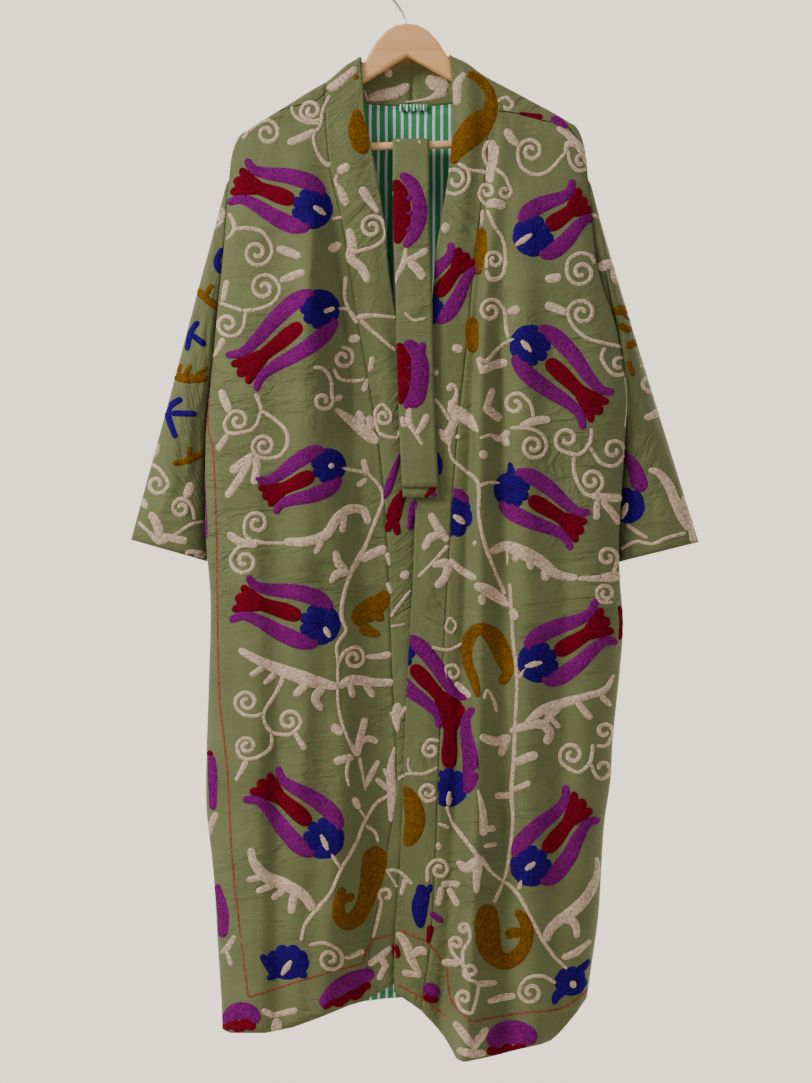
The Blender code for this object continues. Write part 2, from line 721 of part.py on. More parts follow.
for old in list(bpy.data.objects):
    bpy.data.objects.remove(old)
parts = bpy.data.collections.new("coat on hanger")
cutters = bpy.data.collections.new("cutters")
for collection in (parts, cutters):
    bpy.context.scene.collection.children.link(collection)

make_back()
make_lining()
for side in ("left", "right"):
    make_front(side)
    make_band(side)
    make_sleeve(side)
make_belt()
make_board()
make_bar()
make_hook()
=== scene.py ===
"""A long cotton coat with suzani embroidery on a wooden hanger, its belt folded over the hanger's bar.

Sizes are in millimetres and are turned into metres where points are placed. Drops are measured down
from the inside of the hook's bend, which is the origin. +X is to the right of somebody who faces the
front of the coat, -Y is towards them and +Z is up.
"""

import math
from bisect import bisect

import bmesh
import bpy
import numpy as np
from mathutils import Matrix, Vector, noise
from mathutils.bvhtree import BVHTree


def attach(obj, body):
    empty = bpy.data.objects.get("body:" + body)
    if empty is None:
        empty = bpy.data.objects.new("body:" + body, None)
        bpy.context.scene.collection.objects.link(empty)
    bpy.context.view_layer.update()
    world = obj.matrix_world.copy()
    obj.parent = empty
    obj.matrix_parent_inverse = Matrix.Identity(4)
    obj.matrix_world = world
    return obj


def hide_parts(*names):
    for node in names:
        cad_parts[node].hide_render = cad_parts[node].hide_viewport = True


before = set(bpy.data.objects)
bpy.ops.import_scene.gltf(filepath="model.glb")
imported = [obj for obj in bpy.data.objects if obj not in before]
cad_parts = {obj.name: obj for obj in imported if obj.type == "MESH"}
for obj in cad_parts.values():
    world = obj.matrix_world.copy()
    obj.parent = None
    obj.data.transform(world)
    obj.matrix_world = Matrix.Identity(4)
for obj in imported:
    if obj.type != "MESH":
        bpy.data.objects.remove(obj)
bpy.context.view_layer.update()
MM = 0.001  # metres


# How a surface's finish is written down, and put on a solid that is carried over


class Value:
    """A value that varies over a surface. A sum written with it becomes Math nodes."""

    def __init__(self, tree, socket=None):
        self.tree = tree
        self.socket = socket

    def node(self, kind, settings=None, values=None, out=0):
        """Adds a node: first its settings, then a number or another value for each socket named."""
        made = self.tree.nodes.new(kind)
        for name, setting in (settings or {}).items():
            if name == "stops":
                for at, _ in setting[1:-1]:
                    made.color_ramp.elements.new(at)
                for element, (at, colour) in zip(made.color_ramp.elements, setting):
                    element.position = at
                    element.color = colour
            else:
                setattr(made, name, setting)
        for name, value in (values or {}).items():
            if isinstance(value, Value):
                self.tree.links.new(value.socket, made.inputs[name])
            else:
                made.inputs[name].default_value = value
        return Value(self.tree, made.outputs[out])

    def maths(self, operation, *others):
        return self.node("ShaderNodeMath", {"operation": operation}, dict(enumerate((self, *others))))

    def __add__(self, other):
        return self.maths("ADD", other)

    def __sub__(self, other):
        return self.maths("SUBTRACT", other)

    def __rsub__(self, other):
        return self.node("ShaderNodeMath", {"operation": "SUBTRACT"}, {0: other, 1: self})

    def __mul__(self, other):
        return self.maths("MULTIPLY", other)

    def __truediv__(self, other):
        return self.maths("DIVIDE", other)

    __radd__ = __add__
    __rmul__ = __mul__

    def mixed(self, near, far):
        """Mixes two colours, with this value as the far one's share."""
        return self.node("ShaderNodeMix", {"data_type": "RGBA"}, {0: self, 6: near, 7: far}, out=2)


def finish(name, roughness, metallic=0.0):
    """Makes a material with one Principled shader, and a value to build its nodes from."""
    material = bpy.data.materials.new(name)
    material.use_nodes = True
    shader = material.node_tree.nodes["Principled BSDF"]
    shader.inputs["Roughness"].default_value = roughness
    shader.inputs["Metallic"].default_value = metallic
    return material, shader, Value(material.node_tree)


def feed(shader, socket, value):
    value.tree.links.new(value.socket, shader.inputs[socket])


def emboss(shader, height, strength, distance, under=None):
    """Raises a surface's finest relief, over a softer one where there is one."""
    values = {"Height": height, "Strength": strength, "Distance": distance}
    if under:
        values["Normal"] = under
    feed(shader, "Normal", height.node("ShaderNodeBump", {}, values))


def wear(node_name, material):
    """Gives a carried-over solid its finish."""
    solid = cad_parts[node_name]
    for k in range(len(solid.material_slots)):
        solid.material_slots[k].material = material


# The hook is a bright steel wire, bent over a former and driven into the top of the board.
# Its solid keeps its shape; drawing the wire has left fine lines along it.

steel, shader, value = finish("drawn steel wire", 0.28, 1.0)
place_on = value.node("ShaderNodeTexCoord", out=3)
lines = value.node(
    "ShaderNodeTexNoise", {}, {"Vector": place_on, "Scale": 420.0, "Detail": 3.0, "Distortion": 1.2}
)
tarnish = value.node("ShaderNodeTexNoise", {}, {"Vector": place_on, "Scale": 60.0, "Detail": 4.0})
feed(shader, "Base Color", tarnish.mixed((0.44, 0.44, 0.43, 1), (0.66, 0.66, 0.65, 1)))
feed(shader, "Roughness", lines * 0.18 + 0.2)
emboss(shader, lines, 0.12, 0.0004)
wear("hanger_hook", steel)


# The board is a flat blank of pale hardwood, sawn to a hump and two arms, rounded over and varnished.
# The grain runs along the arms; the turned bar between their ends is of the same wood, left plainer.


def blend_colour(near, far, share):
    return tuple(a + (b - a) * share for a, b in zip(near, far))


def varnished_wood(name, pale, dark, along, across):
    """Wood with its grain along X, in a thin coat of varnish."""
    material, shader, value = finish(name, 0.42)
    place_on = value.node("ShaderNodeTexCoord", out=3)
    stretched = value.node("ShaderNodeMapping", {}, {"Vector": place_on, "Scale": (along, across, across)})
    figure = value.node(
        "ShaderNodeTexNoise", {}, {"Vector": stretched, "Scale": 1.0, "Detail": 5.0, "Distortion": 0.9}
    )
    drawn = (along * 6, across * 7, across * 7)
    rays = value.node("ShaderNodeMapping", {}, {"Vector": place_on, "Scale": drawn})
    pores = value.node("ShaderNodeTexNoise", {}, {"Vector": rays, "Scale": 1.0, "Detail": 3.0})
    tone = figure.node(
        "ShaderNodeValToRGB",
        {"stops": [(0.34, dark), (0.5, blend_colour(dark, pale, 0.6)), (0.68, pale)]},
        {"Fac": figure * 0.8 + pores * 0.2},
    )
    feed(shader, "Base Color", tone)
    feed(shader, "Roughness", pores * 0.2 + 0.32)
    shader.inputs["Coat Weight"].default_value = 0.35
    shader.inputs["Coat Roughness"].default_value = 0.22
    emboss(shader, figure * 0.5 + pores * 0.5, 0.25, 0.0006)
    return material


# columns: node, its finish, pale tone, dark tone, scale of the grain along the arms, and across them
WOOD = [
    ("hanger_body", "varnished board", (0.830, 0.440, 0.175, 1), (0.720, 0.350, 0.125, 1), 9, 95),
    ("hanger_bar", "varnished bar", (0.840, 0.500, 0.230, 1), (0.720, 0.400, 0.170, 1), 14, 160),
]
for node_name, *looks in WOOD:
    wear(node_name, varnished_wood(*looks))


# The fronts are two lengths of slubby green cotton, cut straight and sewn to the back at the shoulders
# and sides. They fall from the hanger's arms in long soft folds. A striped cotton lines them.
# The tables hold widths and drops as they look from 1.7 m away, level with the eye.

CLOTH = 2.0
# The eye's distance and drop. A point nearer to it looks larger, so place() draws it in.
VIEW_DISTANCE = 1700.0
EYE_DROP = 727.0
EYE_ACROSS = 1.3
# Cloth close round an arm or the bar keeps the wood's real size, so this much depth isn't drawn in there.
WRAP_DEPTH = 8.0
WRAP_END = 400.0
WRAP_FADE = 150.0
# The hanger hangs a little askew, and the cloth's middle lies this much above the board.
HANGER_TILT = math.radians(1.4)
LIFT = 2.4

# The top of the board's hump and arm, which the shoulders lie over. columns: out, drop
BOARD_TOP = [
    (0, 70.0),
    (14, 72.0),
    (27, 79.5),
    (41, 95.0),
    (48, 107.5),
    (54, 116.5),
    (62, 123.0),
    (75, 130.5),
    (98, 143.0),
    (150, 172.5),
    (192, 196.5),
    (204, 204.5),
]

# How the cloth turns over an arm. columns: fall below the crest, share of the depth reached
OVER_ARM = [(0.0, 0.0), (0.25, 0.35), (2.0, 0.75), (5.2, 0.97), (9.5, 1.0)]
# Depths of the front and the back away from the hanger. columns: fall below the crest, depth
FRONT_DEPTH = [
    (0, 8), (22, 8.8), (60, 14), (110, 24), (200, 34), (320, 41), (450, 46), (650, 51), (900, 57), (1220, 64),
]
# Where each front is sewn to its band. columns: drop, out, depth towards the viewer
SEAM_LINE = {
    "left": [
        (140, 98, 8), (161, 101, 9), (250, 95, 13), (324, 79, 15), (434, 62, 17), (522, 46, 19),
        (616, 31, 21), (734, 22, 23), (880, 16.5, 25), (1033, 10.5, 27), (1132, 24, 28),
        (1189, 34, 29), (1236, 44, 30), (1311, 54, 31),
    ],
    "right": [
        (140, 105, 8), (180, 106, 10), (250, 103, 14), (340, 92, 18), (393, 86, 20), (471, 79, 22),
        (573, 68, 24), (674, 60, 26), (773, 54, 28), (928, 46, 31), (1033, 42, 32), (1114, 39, 33),
        (1240, 32, 34), (1322, 20, 35),
    ],
}
# The side seams. columns: drop, out, depth towards the viewer
SIDE_LINE = {
    "left": [
        (267, 222, 0), (310, 225, 1), (366, 230, 2), (420, 236, 3), (476, 241, 5), (526, 246, 8),
        (596, 252, 10), (719, 252, 12), (801, 246, 12), (903, 248, 12), (996, 251, 12), (1068, 251, 12),
        (1121, 245, 12), (1164, 241, 12), (1233, 237, 12), (1312, 232, 12), (1346, 231, 12),
    ],
    "right": [
        (267, 231, 0), (310, 235, 1), (366, 241, 2), (406, 251, 3), (440, 263, 4), (480, 273, 5),
        (537, 281, 10), (608, 278, 12), (719, 271, 12), (774, 272, 12), (829, 276, 12), (880, 273, 12),
        (978, 263, 12), (1031, 260, 12), (1086, 252, 12), (1198, 245, 12), (1251, 238, 12), (1306, 230, 12),
    ],
}
# Shares of a front's width: where it starts to round off to the side, how far it lies flat beside the band,
# and how much more the folds and the panel's depth take to come up from there
SIDE_ROUND = 0.74
SEAM_FLAT = 0.025
FOLDS_RISE = 0.12
DEPTH_RISE = 0.32
ARMHOLE_TOP = 267.0
ARMHOLE_END = 480.0
ARMHOLE_HALF = 12.0

# The hems. columns: share of the panel's width, drop
FRONT_HEM = {
    "left": [(0, 1311), (0.1, 1316), (0.3, 1331), (0.5, 1344), (0.7, 1351), (0.95, 1351), (1, 1346)],
    "right": [
        (0, 1322), (0.14, 1354), (0.23, 1384), (0.29, 1388), (0.4, 1382), (0.57, 1373), (0.73, 1365),
        (0.8, 1359), (0.87, 1343), (0.94, 1325), (1, 1306),
    ],
}

# The main folds of each panel. columns: drop, across, half width, height towards the outside, lean across
FOLDS = {
    "left": {
        "chest ridge": [
            (230, -124, 24, 0, 0), (420, -124, 22, 9, 0), (700, -128, 24, 7, 0), (1360, -140, 26, 8, 0),
        ],
        "seam trough": [
            (260, -92, 16, 0, 0), (420, -84, 15, -8, 0), (620, -66, 16, -8, 0), (900, -52, 18, -3, 0),
        ],
        "side ridge": [(560, -195, 20, 0, 0), (760, -192, 20, 6, 0), (1360, -182, 22, 8, 0)],
        "hem trough": [(860, -160, 15, 0, 0), (1080, -162, 15, -6, 0), (1360, -160, 16, -7, 0)],
        "front ridge": [(900, -70, 18, 0, 0), (1120, -84, 20, 8, 0), (1330, -96, 20, 12, 0)],
    },
    "right": {
        "band trough": [
            (200, 112, 14, 0, 0), (393, 96, 12, -6, 0), (573, 82, 11, -8, 0), (720, 78, 11, -8, 0),
            (1000, 66, 14, -8, 0), (1340, 44, 16, -10, 0),
        ],
        "hanging ridge": [
            (190, 126, 14, 0, 0), (320, 112, 12, 12, -5), (471, 102, 12, 16, -7), (720, 100, 12, 15, -6),
            (900, 98, 13, 14, -5), (1100, 93, 14, 22, -5), (1390, 82, 15, 36, -5),
        ],
        "second trough": [
            (380, 128, 10, 0, 0), (520, 124, 10, -8, 0), (760, 124, 12, -8, 0), (1340, 126, 16, -4, 0),
        ],
        "chest ridge": [
            (260, 156, 22, 0, 0), (440, 152, 22, 8, 0), (760, 154, 22, 8, 0), (1370, 160, 26, 12, 0),
        ],
        "side trough": [(620, 208, 16, 0, 0), (820, 204, 16, -7, 0), (1360, 192, 16, -5, 0)],
    },
}

# The small creases, each a ridge or trough between two ends.
# columns: across, drop, far across, far drop, half width, height
CREASES = {
    "left": [
        (-112, 300, -128, 470, 7, 2.2),
        (-150, 470, -190, 455, 6, -1.6),
        (-92, 706, -150, 728, 7, -1.8),
        (-86, 740, -170, 768, 8, 2.0),
        (-100, 780, -205, 792, 8, -1.8),
        (-58, 600, -70, 720, 6, 2.4),
        (-64, 470, -78, 590, 6, -2.4),
        (-236, 1150, -214, 1226, 9, -3.2),
        (-225, 1130, -200, 1230, 8, 2.2),
        (-120, 900, -134, 1060, 9, 1.8),
        (-60, 1180, -120, 1215, 10, 2.6),
        (-196, 352, -150, 300, 8, 1.6),
        (-214, 420, -170, 392, 8, -1.4),
        (-180, 1240, -120, 1290, 10, -2.0),
    ],
    "right": [
        (86, 760, 118, 810, 7, -2.0),
        (84, 1000, 140, 1080, 8, 2.4),
        (60, 1040, 112, 1010, 8, -2.6),
        (70, 1120, 128, 1160, 8, 2.2),
        (170, 300, 222, 350, 8, -1.8),
        (186, 400, 250, 440, 8, 1.8),
        (196, 470, 262, 500, 8, -1.8),
        (150, 560, 214, 600, 9, 1.6),
        (210, 640, 262, 600, 8, -2.0),
        (214, 700, 258, 730, 9, 1.8),
        (150, 1180, 214, 1230, 10, 2.2),
        (120, 1250, 190, 1290, 10, -2.2),
        (206, 1060, 240, 1160, 8, 2.4),
        (120, 420, 132, 560, 5, 2.2),
    ],
}


def reading(rows, at):
    """Smoothly reads a table, by its first column, and gives the other columns."""
    at = min(max(at, rows[0][0]), rows[-1][0])
    k = min(max(bisect([row[0] for row in rows], at) - 1, 0), len(rows) - 2)
    near, far = np.array(rows[k], float), np.array(rows[k + 1], float)
    before = np.array(rows[max(k - 1, 0)], float)
    after = np.array(rows[min(k + 2, len(rows) - 1)], float)
    step = far[0] - near[0]
    near_slope = (far - before) / max(far[0] - before[0], 1e-9) * step
    far_slope = (after - near) / max(after[0] - near[0], 1e-9) * step
    u = (at - near[0]) / step
    value = (
        (2 * u**3 - 3 * u**2 + 1) * near
        + (u**3 - 2 * u**2 + u) * near_slope
        + (3 * u**2 - 2 * u**3) * far
        + (u**3 - u**2) * far_slope
    )
    return value[1:]


def plain_reading(rows, at):
    """Reads one column of a table in straight lines between its rows."""
    return float(np.interp(at, [row[0] for row in rows], [row[1] for row in rows]))


def ease(share):
    share = min(max(share, 0.0), 1.0)
    return share * share * (3 - 2 * share)


def between(ends, at):
    """Rises smoothly from nought at the first end to one at the other."""
    return ease((at - ends[0]) / (ends[1] - ends[0]))


def blend(near, far, share):
    return near + (far - near) * share


def place(across, drop, back):
    """Turns a width and a drop as seen, with a depth behind the hanger, into a real point in metres."""
    close = WRAP_DEPTH * (1 - ease((drop - WRAP_END + WRAP_FADE) / WRAP_FADE))
    draw_in = 1 + math.copysign(max(abs(back) - close, 0.0), back) / VIEW_DISTANCE
    real_drop = EYE_DROP + (drop - EYE_DROP) * draw_in
    return (across * draw_in * MM, back * MM, -real_drop * MM)


def tilted(out, drop):
    """Turns a point of the hanger about the hook, because its right arm hangs a little higher."""
    cos, sin = math.cos(HANGER_TILT), math.sin(HANGER_TILT)
    return out * cos + drop * sin, drop * cos - out * sin


SIGN = {"left": -1, "right": 1}
ARM_LINE = sorted(
    tilted(sign * out, drop - LIFT) for sign in (-1, 1) for out, drop in BOARD_TOP if out or sign > 0
)


def crest(across):
    """Drop of the shoulder line: over the arm, then rounding off its tip down to the armhole."""
    side = "left" if across < 0 else "right"
    tip = abs(ARM_LINE[0][0] if across < 0 else ARM_LINE[-1][0])
    out = abs(across)
    over = float(reading(ARM_LINE, across)[0])
    if out <= tip:
        return over
    edge = SIDE_LINE[side][0][1]
    u = min((out - tip) / (edge - tip), 1.0)
    return over + (ARMHOLE_TOP - over) * (1 - math.sqrt(1 - u * u))


def turned_over(fall):
    """Share of the depth that the cloth has reached after turning over an arm."""
    return plain_reading(OVER_ARM, fall)


def armhole(drop):
    """Half of the gap between front and back where the sleeve is set in."""
    u = (drop - ARMHOLE_TOP) / (ARMHOLE_END - ARMHOLE_TOP)
    if not 0 < u < 1:
        return 0.0
    return ARMHOLE_HALF * math.sqrt(math.sin(math.pi * u))


def folds(panel, across, drop):
    """Height and sideways lean of the panel's folds at one place."""
    height, lean = 0.0, 0.0
    for rows in FOLDS[panel].values():
        if drop <= rows[0][0]:
            continue
        middle, half, high, slant = reading(rows, drop)
        bump = math.exp(-(((across - middle) / half) ** 2))
        height += high * bump
        lean += slant * bump
    return height, lean


# A crease runs on past its ends by this share of its length, and fades over the second one.
CREASE_TAIL = 0.3
CREASE_FADE = 0.45


def creases(panel, across, drop):
    """Height of the panel's small creases and of the cloth's own unevenness at one place."""
    height = 0.9 * noise.noise((across / 52, drop / 96, len(panel)))
    height += 0.5 * noise.noise((across / 21, drop / 34, 7.5))
    for across_a, drop_a, across_b, drop_b, half, high in CREASES[panel]:
        run = (across_b - across_a, drop_b - drop_a)
        length = run[0] ** 2 + run[1] ** 2
        share = ((across - across_a) * run[0] + (drop - drop_a) * run[1]) / length
        if not -CREASE_TAIL < share < 1 + CREASE_TAIL:
            continue
        nearest = min(max(share, 0), 1)
        off = math.hypot(across - across_a - run[0] * nearest, drop - drop_a - run[1] * nearest)
        tail = ease((share + CREASE_TAIL) / CREASE_FADE) * ease((1 + CREASE_TAIL - share) / CREASE_FADE)
        height += high * tail * math.exp(-((off / half) ** 2))
    return height


def side_columns(start, count):
    """Columns that round off towards a side seam, as pairs of share across and share of the depth."""
    pairs = []
    for k in range(1, count + 1):
        angle = math.radians(90 * k / count)
        across = min(math.sin(angle) / math.sin(math.radians(90 * (count - 1) / count)), 1.0)
        pairs.append((start + (1 - start) * across, math.cos(angle)))
    return pairs


# Where a panel's rows lie below its top edge, and how many even rows follow down to the hem
TOP_FALLS = [0, 0.25, 1, 2, 3.5, 5.2, 7.2, 9.5, 16, 24, 33, 42, 50, 60, 72, 85]
EVEN_ROWS = 104


def panel_drops(top, hem):
    """Drops of a panel's rows in one column, close together over the arm and even below it."""
    even = [blend(top + TOP_FALLS[-1], hem, (k + 1) / EVEN_ROWS) for k in range(EVEN_ROWS)]
    return [top + fall for fall in TOP_FALLS] + even


# How much higher the fronts' ridges stand than in the solids: down to the knee, and at the hem
RIDGE_GAIN = 1.4
HEM_GAIN = 1.05
KNEE_DROP = 980
HEM_DROP = 1280
# The creases start this far below the arm and are full this much lower.
CREASES_FROM = 12
CREASES_RISE = 40


def front_point(side, across, depth_share, top, drop):
    """A point of a front: across from the band's seam to the side, and at a drop."""
    sign = SIGN[side]
    seam_out, seam_depth = reading(SEAM_LINE[side], drop)
    side_out, side_depth = reading(SIDE_LINE[side], drop)
    seen = sign * blend(seam_out, side_out, across)
    flat = reading(FRONT_DEPTH, drop - top)[0]
    high, lean = folds(side, seen, drop)
    high += creases(side, seen, drop) * ease((drop - top - CREASES_FROM) / CREASES_RISE)
    if high > 0:
        high *= blend(RIDGE_GAIN, HEM_GAIN, ease((drop - KNEE_DROP) / (HEM_DROP - KNEE_DROP)))
    settled = ease((across - SEAM_FLAT) / FOLDS_RISE)
    flat = blend(seam_depth, flat, ease((across - SEAM_FLAT) / DEPTH_RISE)) + high * settled
    depth = blend(side_depth + armhole(drop), flat, depth_share) * turned_over(drop - top)
    return place(seen + lean * depth_share * settled, drop, -max(depth, 0))


def cloth_wall(name, rows, thickness, outward, finishes, closed=False):
    """Makes a wall of cloth through rows of (point, place on the cloth), all rows of one length."""
    across, down = len(rows[0]), len(rows)
    mesh = bpy.data.meshes.new(name)
    shape = bmesh.new()
    bmesh.ops.create_grid(shape, x_segments=across - 1, y_segments=down - 1, size=1, calc_uvs=True)
    shape.verts.ensure_lookup_table()
    map_layer = shape.loops.layers.uv.verify()
    for k, vert in enumerate(shape.verts):
        point, spot = rows[k // across][k % across]
        vert.co = point
        for loop in vert.link_loops:
            loop[map_layer].uv = (spot[0] * MM, spot[1] * MM)
    if closed:
        bmesh.ops.remove_doubles(shape, verts=shape.verts, dist=0.00005)
    bmesh.ops.recalc_face_normals(shape, faces=shape.faces)
    facing = sum((face.normal * face.calc_area() for face in shape.faces), Vector())
    if not closed and facing.dot(outward) < 0:
        bmesh.ops.reverse_faces(shape, faces=shape.faces)
    for face in shape.faces:
        face.smooth = True
    shape.to_mesh(mesh)
    shape.free()
    piece = bpy.data.objects.new(name, mesh)
    bpy.context.scene.collection.objects.link(piece)
    for material in finishes:
        mesh.materials.append(material)
    solid = piece.modifiers.new("Thickness", "SOLIDIFY")
    solid.thickness = thickness * MM
    solid.offset = 0
    solid.use_even_offset = False
    solid.material_offset = len(finishes) - 1
    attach(piece, "root")
    return piece


def cotton(name, shade, light, slub):
    """Plain-woven cotton: uneven threads both ways, softly mottled, and a little crumpled."""
    material, shader, value = finish(name, 0.86)
    shader.inputs["Sheen Weight"].default_value = 0.06
    shader.inputs["Sheen Roughness"].default_value = 0.6
    shader.inputs["Specular IOR Level"].default_value = 0.25
    spot = value.node("ShaderNodeTexCoord", out=2)

    def threads(scale, detail):
        stretched = value.node("ShaderNodeMapping", {}, {"Vector": spot, "Scale": scale})
        return value.node("ShaderNodeTexNoise", {}, {"Vector": stretched, "Scale": 1.0, "Detail": detail})

    weft = threads((38, 760, 1), 3.0)
    warp = threads((820, 42, 1), 3.0)
    mottle = threads((21, 16, 1), 4.0)
    fleck = threads((260, 240, 1), 2.0)
    tone = mottle * 0.9 + (weft + warp) * slub + fleck * 0.35 - (0.12 + slub)
    feed(shader, "Base Color", tone.maths("MINIMUM", 1.0).maths("MAXIMUM", 0.0).mixed(shade, light))
    askew = {"Vector": spot, "Rotation": (0, 0, 0.6), "Scale": (11, 26, 1)}
    slanted = value.node("ShaderNodeMapping", {}, askew)
    drift = {"Vector": slanted, "Scale": 1.0, "Detail": 4.0, "Roughness": 0.55, "Distortion": 1.1}
    creased = (value.node("ShaderNodeTexNoise", {}, drift) - 0.5).maths("ABSOLUTE")
    pressed = (threads((7, 5, 1), 2.0) - 0.42).maths("MAXIMUM", 0.0) * 3.2
    crumple = threads((34, 22, 1), 5.0) * 0.7 + (1 - creased * 9).maths("MAXIMUM", 0.0) * pressed
    soft = value.node("ShaderNodeBump", {}, {"Height": crumple, "Strength": 0.75, "Distance": 0.0046})
    emboss(shader, weft * 0.5 + warp * 0.5 + fleck * 0.3, 0.5, 0.0009, soft)
    return material


def striped_cotton(name, spacing):
    """A thin cotton printed with green and pale stripes, each green one edged by a dark line."""
    material, shader, value = finish(name, 0.8)
    spot = value.node("ShaderNodeTexCoord", out=2)
    across = value.node("ShaderNodeSeparateXYZ", {}, {"Vector": spot})
    wobble = value.node("ShaderNodeTexNoise", {}, {"Vector": spot, "Scale": 14.0, "Detail": 2.0})
    share = (across / (spacing * MM) + wobble * 0.35).maths("FRACT")
    green = (0.013, 0.255, 0.072, 1)
    pale = (0.620, 0.740, 0.760, 1)
    navy = (0.004, 0.012, 0.030, 1)
    stops = [(0.0, navy), (0.07, green), (0.56, green), (0.60, navy), (0.66, pale), (0.96, pale), (1.0, navy)]
    stripes = value.node("ShaderNodeValToRGB", {"stops": stops}, {"Fac": share})
    faded = value.node("ShaderNodeTexNoise", {}, {"Vector": spot, "Scale": 45.0, "Detail": 4.0})
    feed(shader, "Base Color", (faded * 0.2 - 0.04).mixed(stripes, (0.12, 0.20, 0.16, 1)))
    threads = value.node("ShaderNodeTexNoise", {}, {"Vector": spot, "Scale": 900.0, "Detail": 2.0})
    emboss(shader, threads, 0.3, 0.0005)
    return material


green_cotton = cotton("slubby green cotton", (0.088, 0.100, 0.037, 1), (0.172, 0.190, 0.078, 1), 0.4)
lining_cotton = striped_cotton("striped lining", 10.1)
pieces = {}


# Columns of a front: evenly over its flat part, and round its side
FLAT_COLUMNS = 46
ROUND_COLUMNS = 9


def make_front(side):
    ends = (SEAM_FLAT, SIDE_ROUND - 0.01)
    shares = [(0.0, 1.0)] + [(blend(*ends, k / FLAT_COLUMNS), 1.0) for k in range(FLAT_COLUMNS + 1)]
    shares += side_columns(SIDE_ROUND, ROUND_COLUMNS)
    columns = []
    for across, depth_share in shares:
        top = crest(SIGN[side] * blend(SEAM_LINE[side][0][1], SIDE_LINE[side][0][1], across))
        column = []
        for drop in panel_drops(top, plain_reading(FRONT_HEM[side], across)):
            point = front_point(side, across, depth_share, top, drop)
            column.append((point, (point[0] / MM, drop)))
        columns.append(column)
    outward = Vector((0, -1, 0))
    finishes = (green_cotton, lining_cotton)
    pieces[f"front_{side}"] = cloth_wall(f"front_{side}_cloth", list(zip(*columns)), CLOTH, outward, finishes)


for side in ("left", "right"):
    make_front(side)
    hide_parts(f"front_{side}")


# The back is one width of the same cotton, rounding into the side seams and scooped for the neck.
# It hangs in wide folds of its own.

BACK_DEPTH = [(0, 8), (22, 8.6), (60, 12), (120, 16), (220, 19), (450, 21), (800, 24), (1220, 27)]
BACK_HEM = [(0, 1346), (0.1, 1333), (0.3, 1316), (0.45, 1307), (0.6, 1303), (0.8, 1304), (1, 1306)]
# The neck seam of the back, and the band's free edge behind the neck
CENTRE_BACK = 9.0
NECK_DROP = 172.0
# Behind the neck the back is pushed out this far: from these widths inwards and these drops downwards
NECK_PUSH = 6.0
PUSH_ACROSS = (88, 48)
PUSH_DROPS = (140, 152)
# columns: share of the half neck, seam's fall, free edge's distance out from the centre back as a share,
# free edge's fall, free edge's depth
NECK_ROWS = [
    (0.0, 0.0, 1.0, 0.0, 0.0),
    (0.004, 0.25, 0.998, 0.25, 2.8),
    (0.013, 2.0, 0.99, 2.0, 6.0),
    (0.028, 5.2, 0.98, 3.6, 8.2),
    (0.065, 10.0, 0.95, 4.2, 10.5),
    (0.17, 17.0, 0.87, 3.6, 13.0),
    (0.30, 22.5, 0.76, 2.6, 15.5),
    (0.49, 28.0, 0.60, 1.4, 17.5),
    (0.71, 30.3, 0.34, 0.4, 19.0),
    (1.0, 30.6, 0.0, 0.0, 20.0),
]
FOLDS["back"] = {
    "left ridge": [(300, -140, 26, 0, 0), (520, -146, 26, 7, 0), (1340, -160, 28, 12, 0)],
    "left trough": [(360, -84, 20, 0, 0), (600, -88, 20, -6, 0), (1340, -96, 24, -8, 0)],
    "centre ridge": [(260, 4, 26, 0, 0), (560, 0, 28, 6, 0), (1310, -12, 30, 10, 0)],
    "right trough": [(380, 92, 20, 0, 0), (620, 96, 20, -6, 0), (1310, 92, 24, -8, 0)],
    "right ridge": [(300, 150, 26, 0, 0), (540, 160, 26, 7, 0), (1310, 156, 28, 12, 0)],
}
CREASES["back"] = [
    (-150, 380, -90, 430, 9, 2.0),
    (150, 400, 80, 440, 9, -2.0),
    (-60, 620, 20, 650, 10, 1.8),
    (30, 700, 120, 690, 10, -1.8),
    (-180, 820, -110, 860, 10, 2.2),
    (-20, 980, 60, 1010, 12, -2.0),
    (110, 1060, 190, 1100, 10, 2.2),
    (-140, 1160, -60, 1210, 12, 2.0),
]


def neck_seam(side, share, fall):
    """Across and drop of a station on the back neck seam."""
    sign = SIGN[side]
    out = SEAM_LINE[side][0][1]
    shoulder = sign * out
    top = crest(shoulder)
    across = blend(shoulder, CENTRE_BACK, share)
    drop = top + fall * (NECK_DROP - top) / NECK_ROWS[-1][1]
    return across, drop


def back_depth(across, drop, ridge):
    fall = drop - ridge
    push = NECK_PUSH * between(PUSH_ACROSS, abs(across)) * between(PUSH_DROPS, drop)
    return (reading(BACK_DEPTH, fall)[0] + push) * turned_over(fall)


def back_columns():
    """Columns of the back at its top edge: across, drop, crest there, share of the depth."""
    columns = []
    for side in ("left", "right"):
        sign = SIGN[side]
        edge, seam = SIDE_LINE[side][0][1], SEAM_LINE[side][0][1]
        half = []
        for share, depth_share in reversed(side_columns(0.9, 8)):
            across = sign * edge * share
            half.append((across, crest(across), crest(across), depth_share))
        for k in range(13):
            across = sign * blend(edge * 0.89, seam + 4, k / 12)
            half.append((across, crest(across), crest(across), 1.0))
        stations = [row[0] for row in NECK_ROWS[:5]] + [0.11, 0.17, 0.24, 0.32, 0.42, 0.53, 0.66, 0.82, 1.0]
        for share in stations:
            fall = plain_reading([row[:2] for row in NECK_ROWS], share)
            across, drop = neck_seam(side, share, fall)
            half.append((across, drop, crest(sign * seam), 1.0))
        columns += half if side == "left" else half[::-1][1:]
    return columns


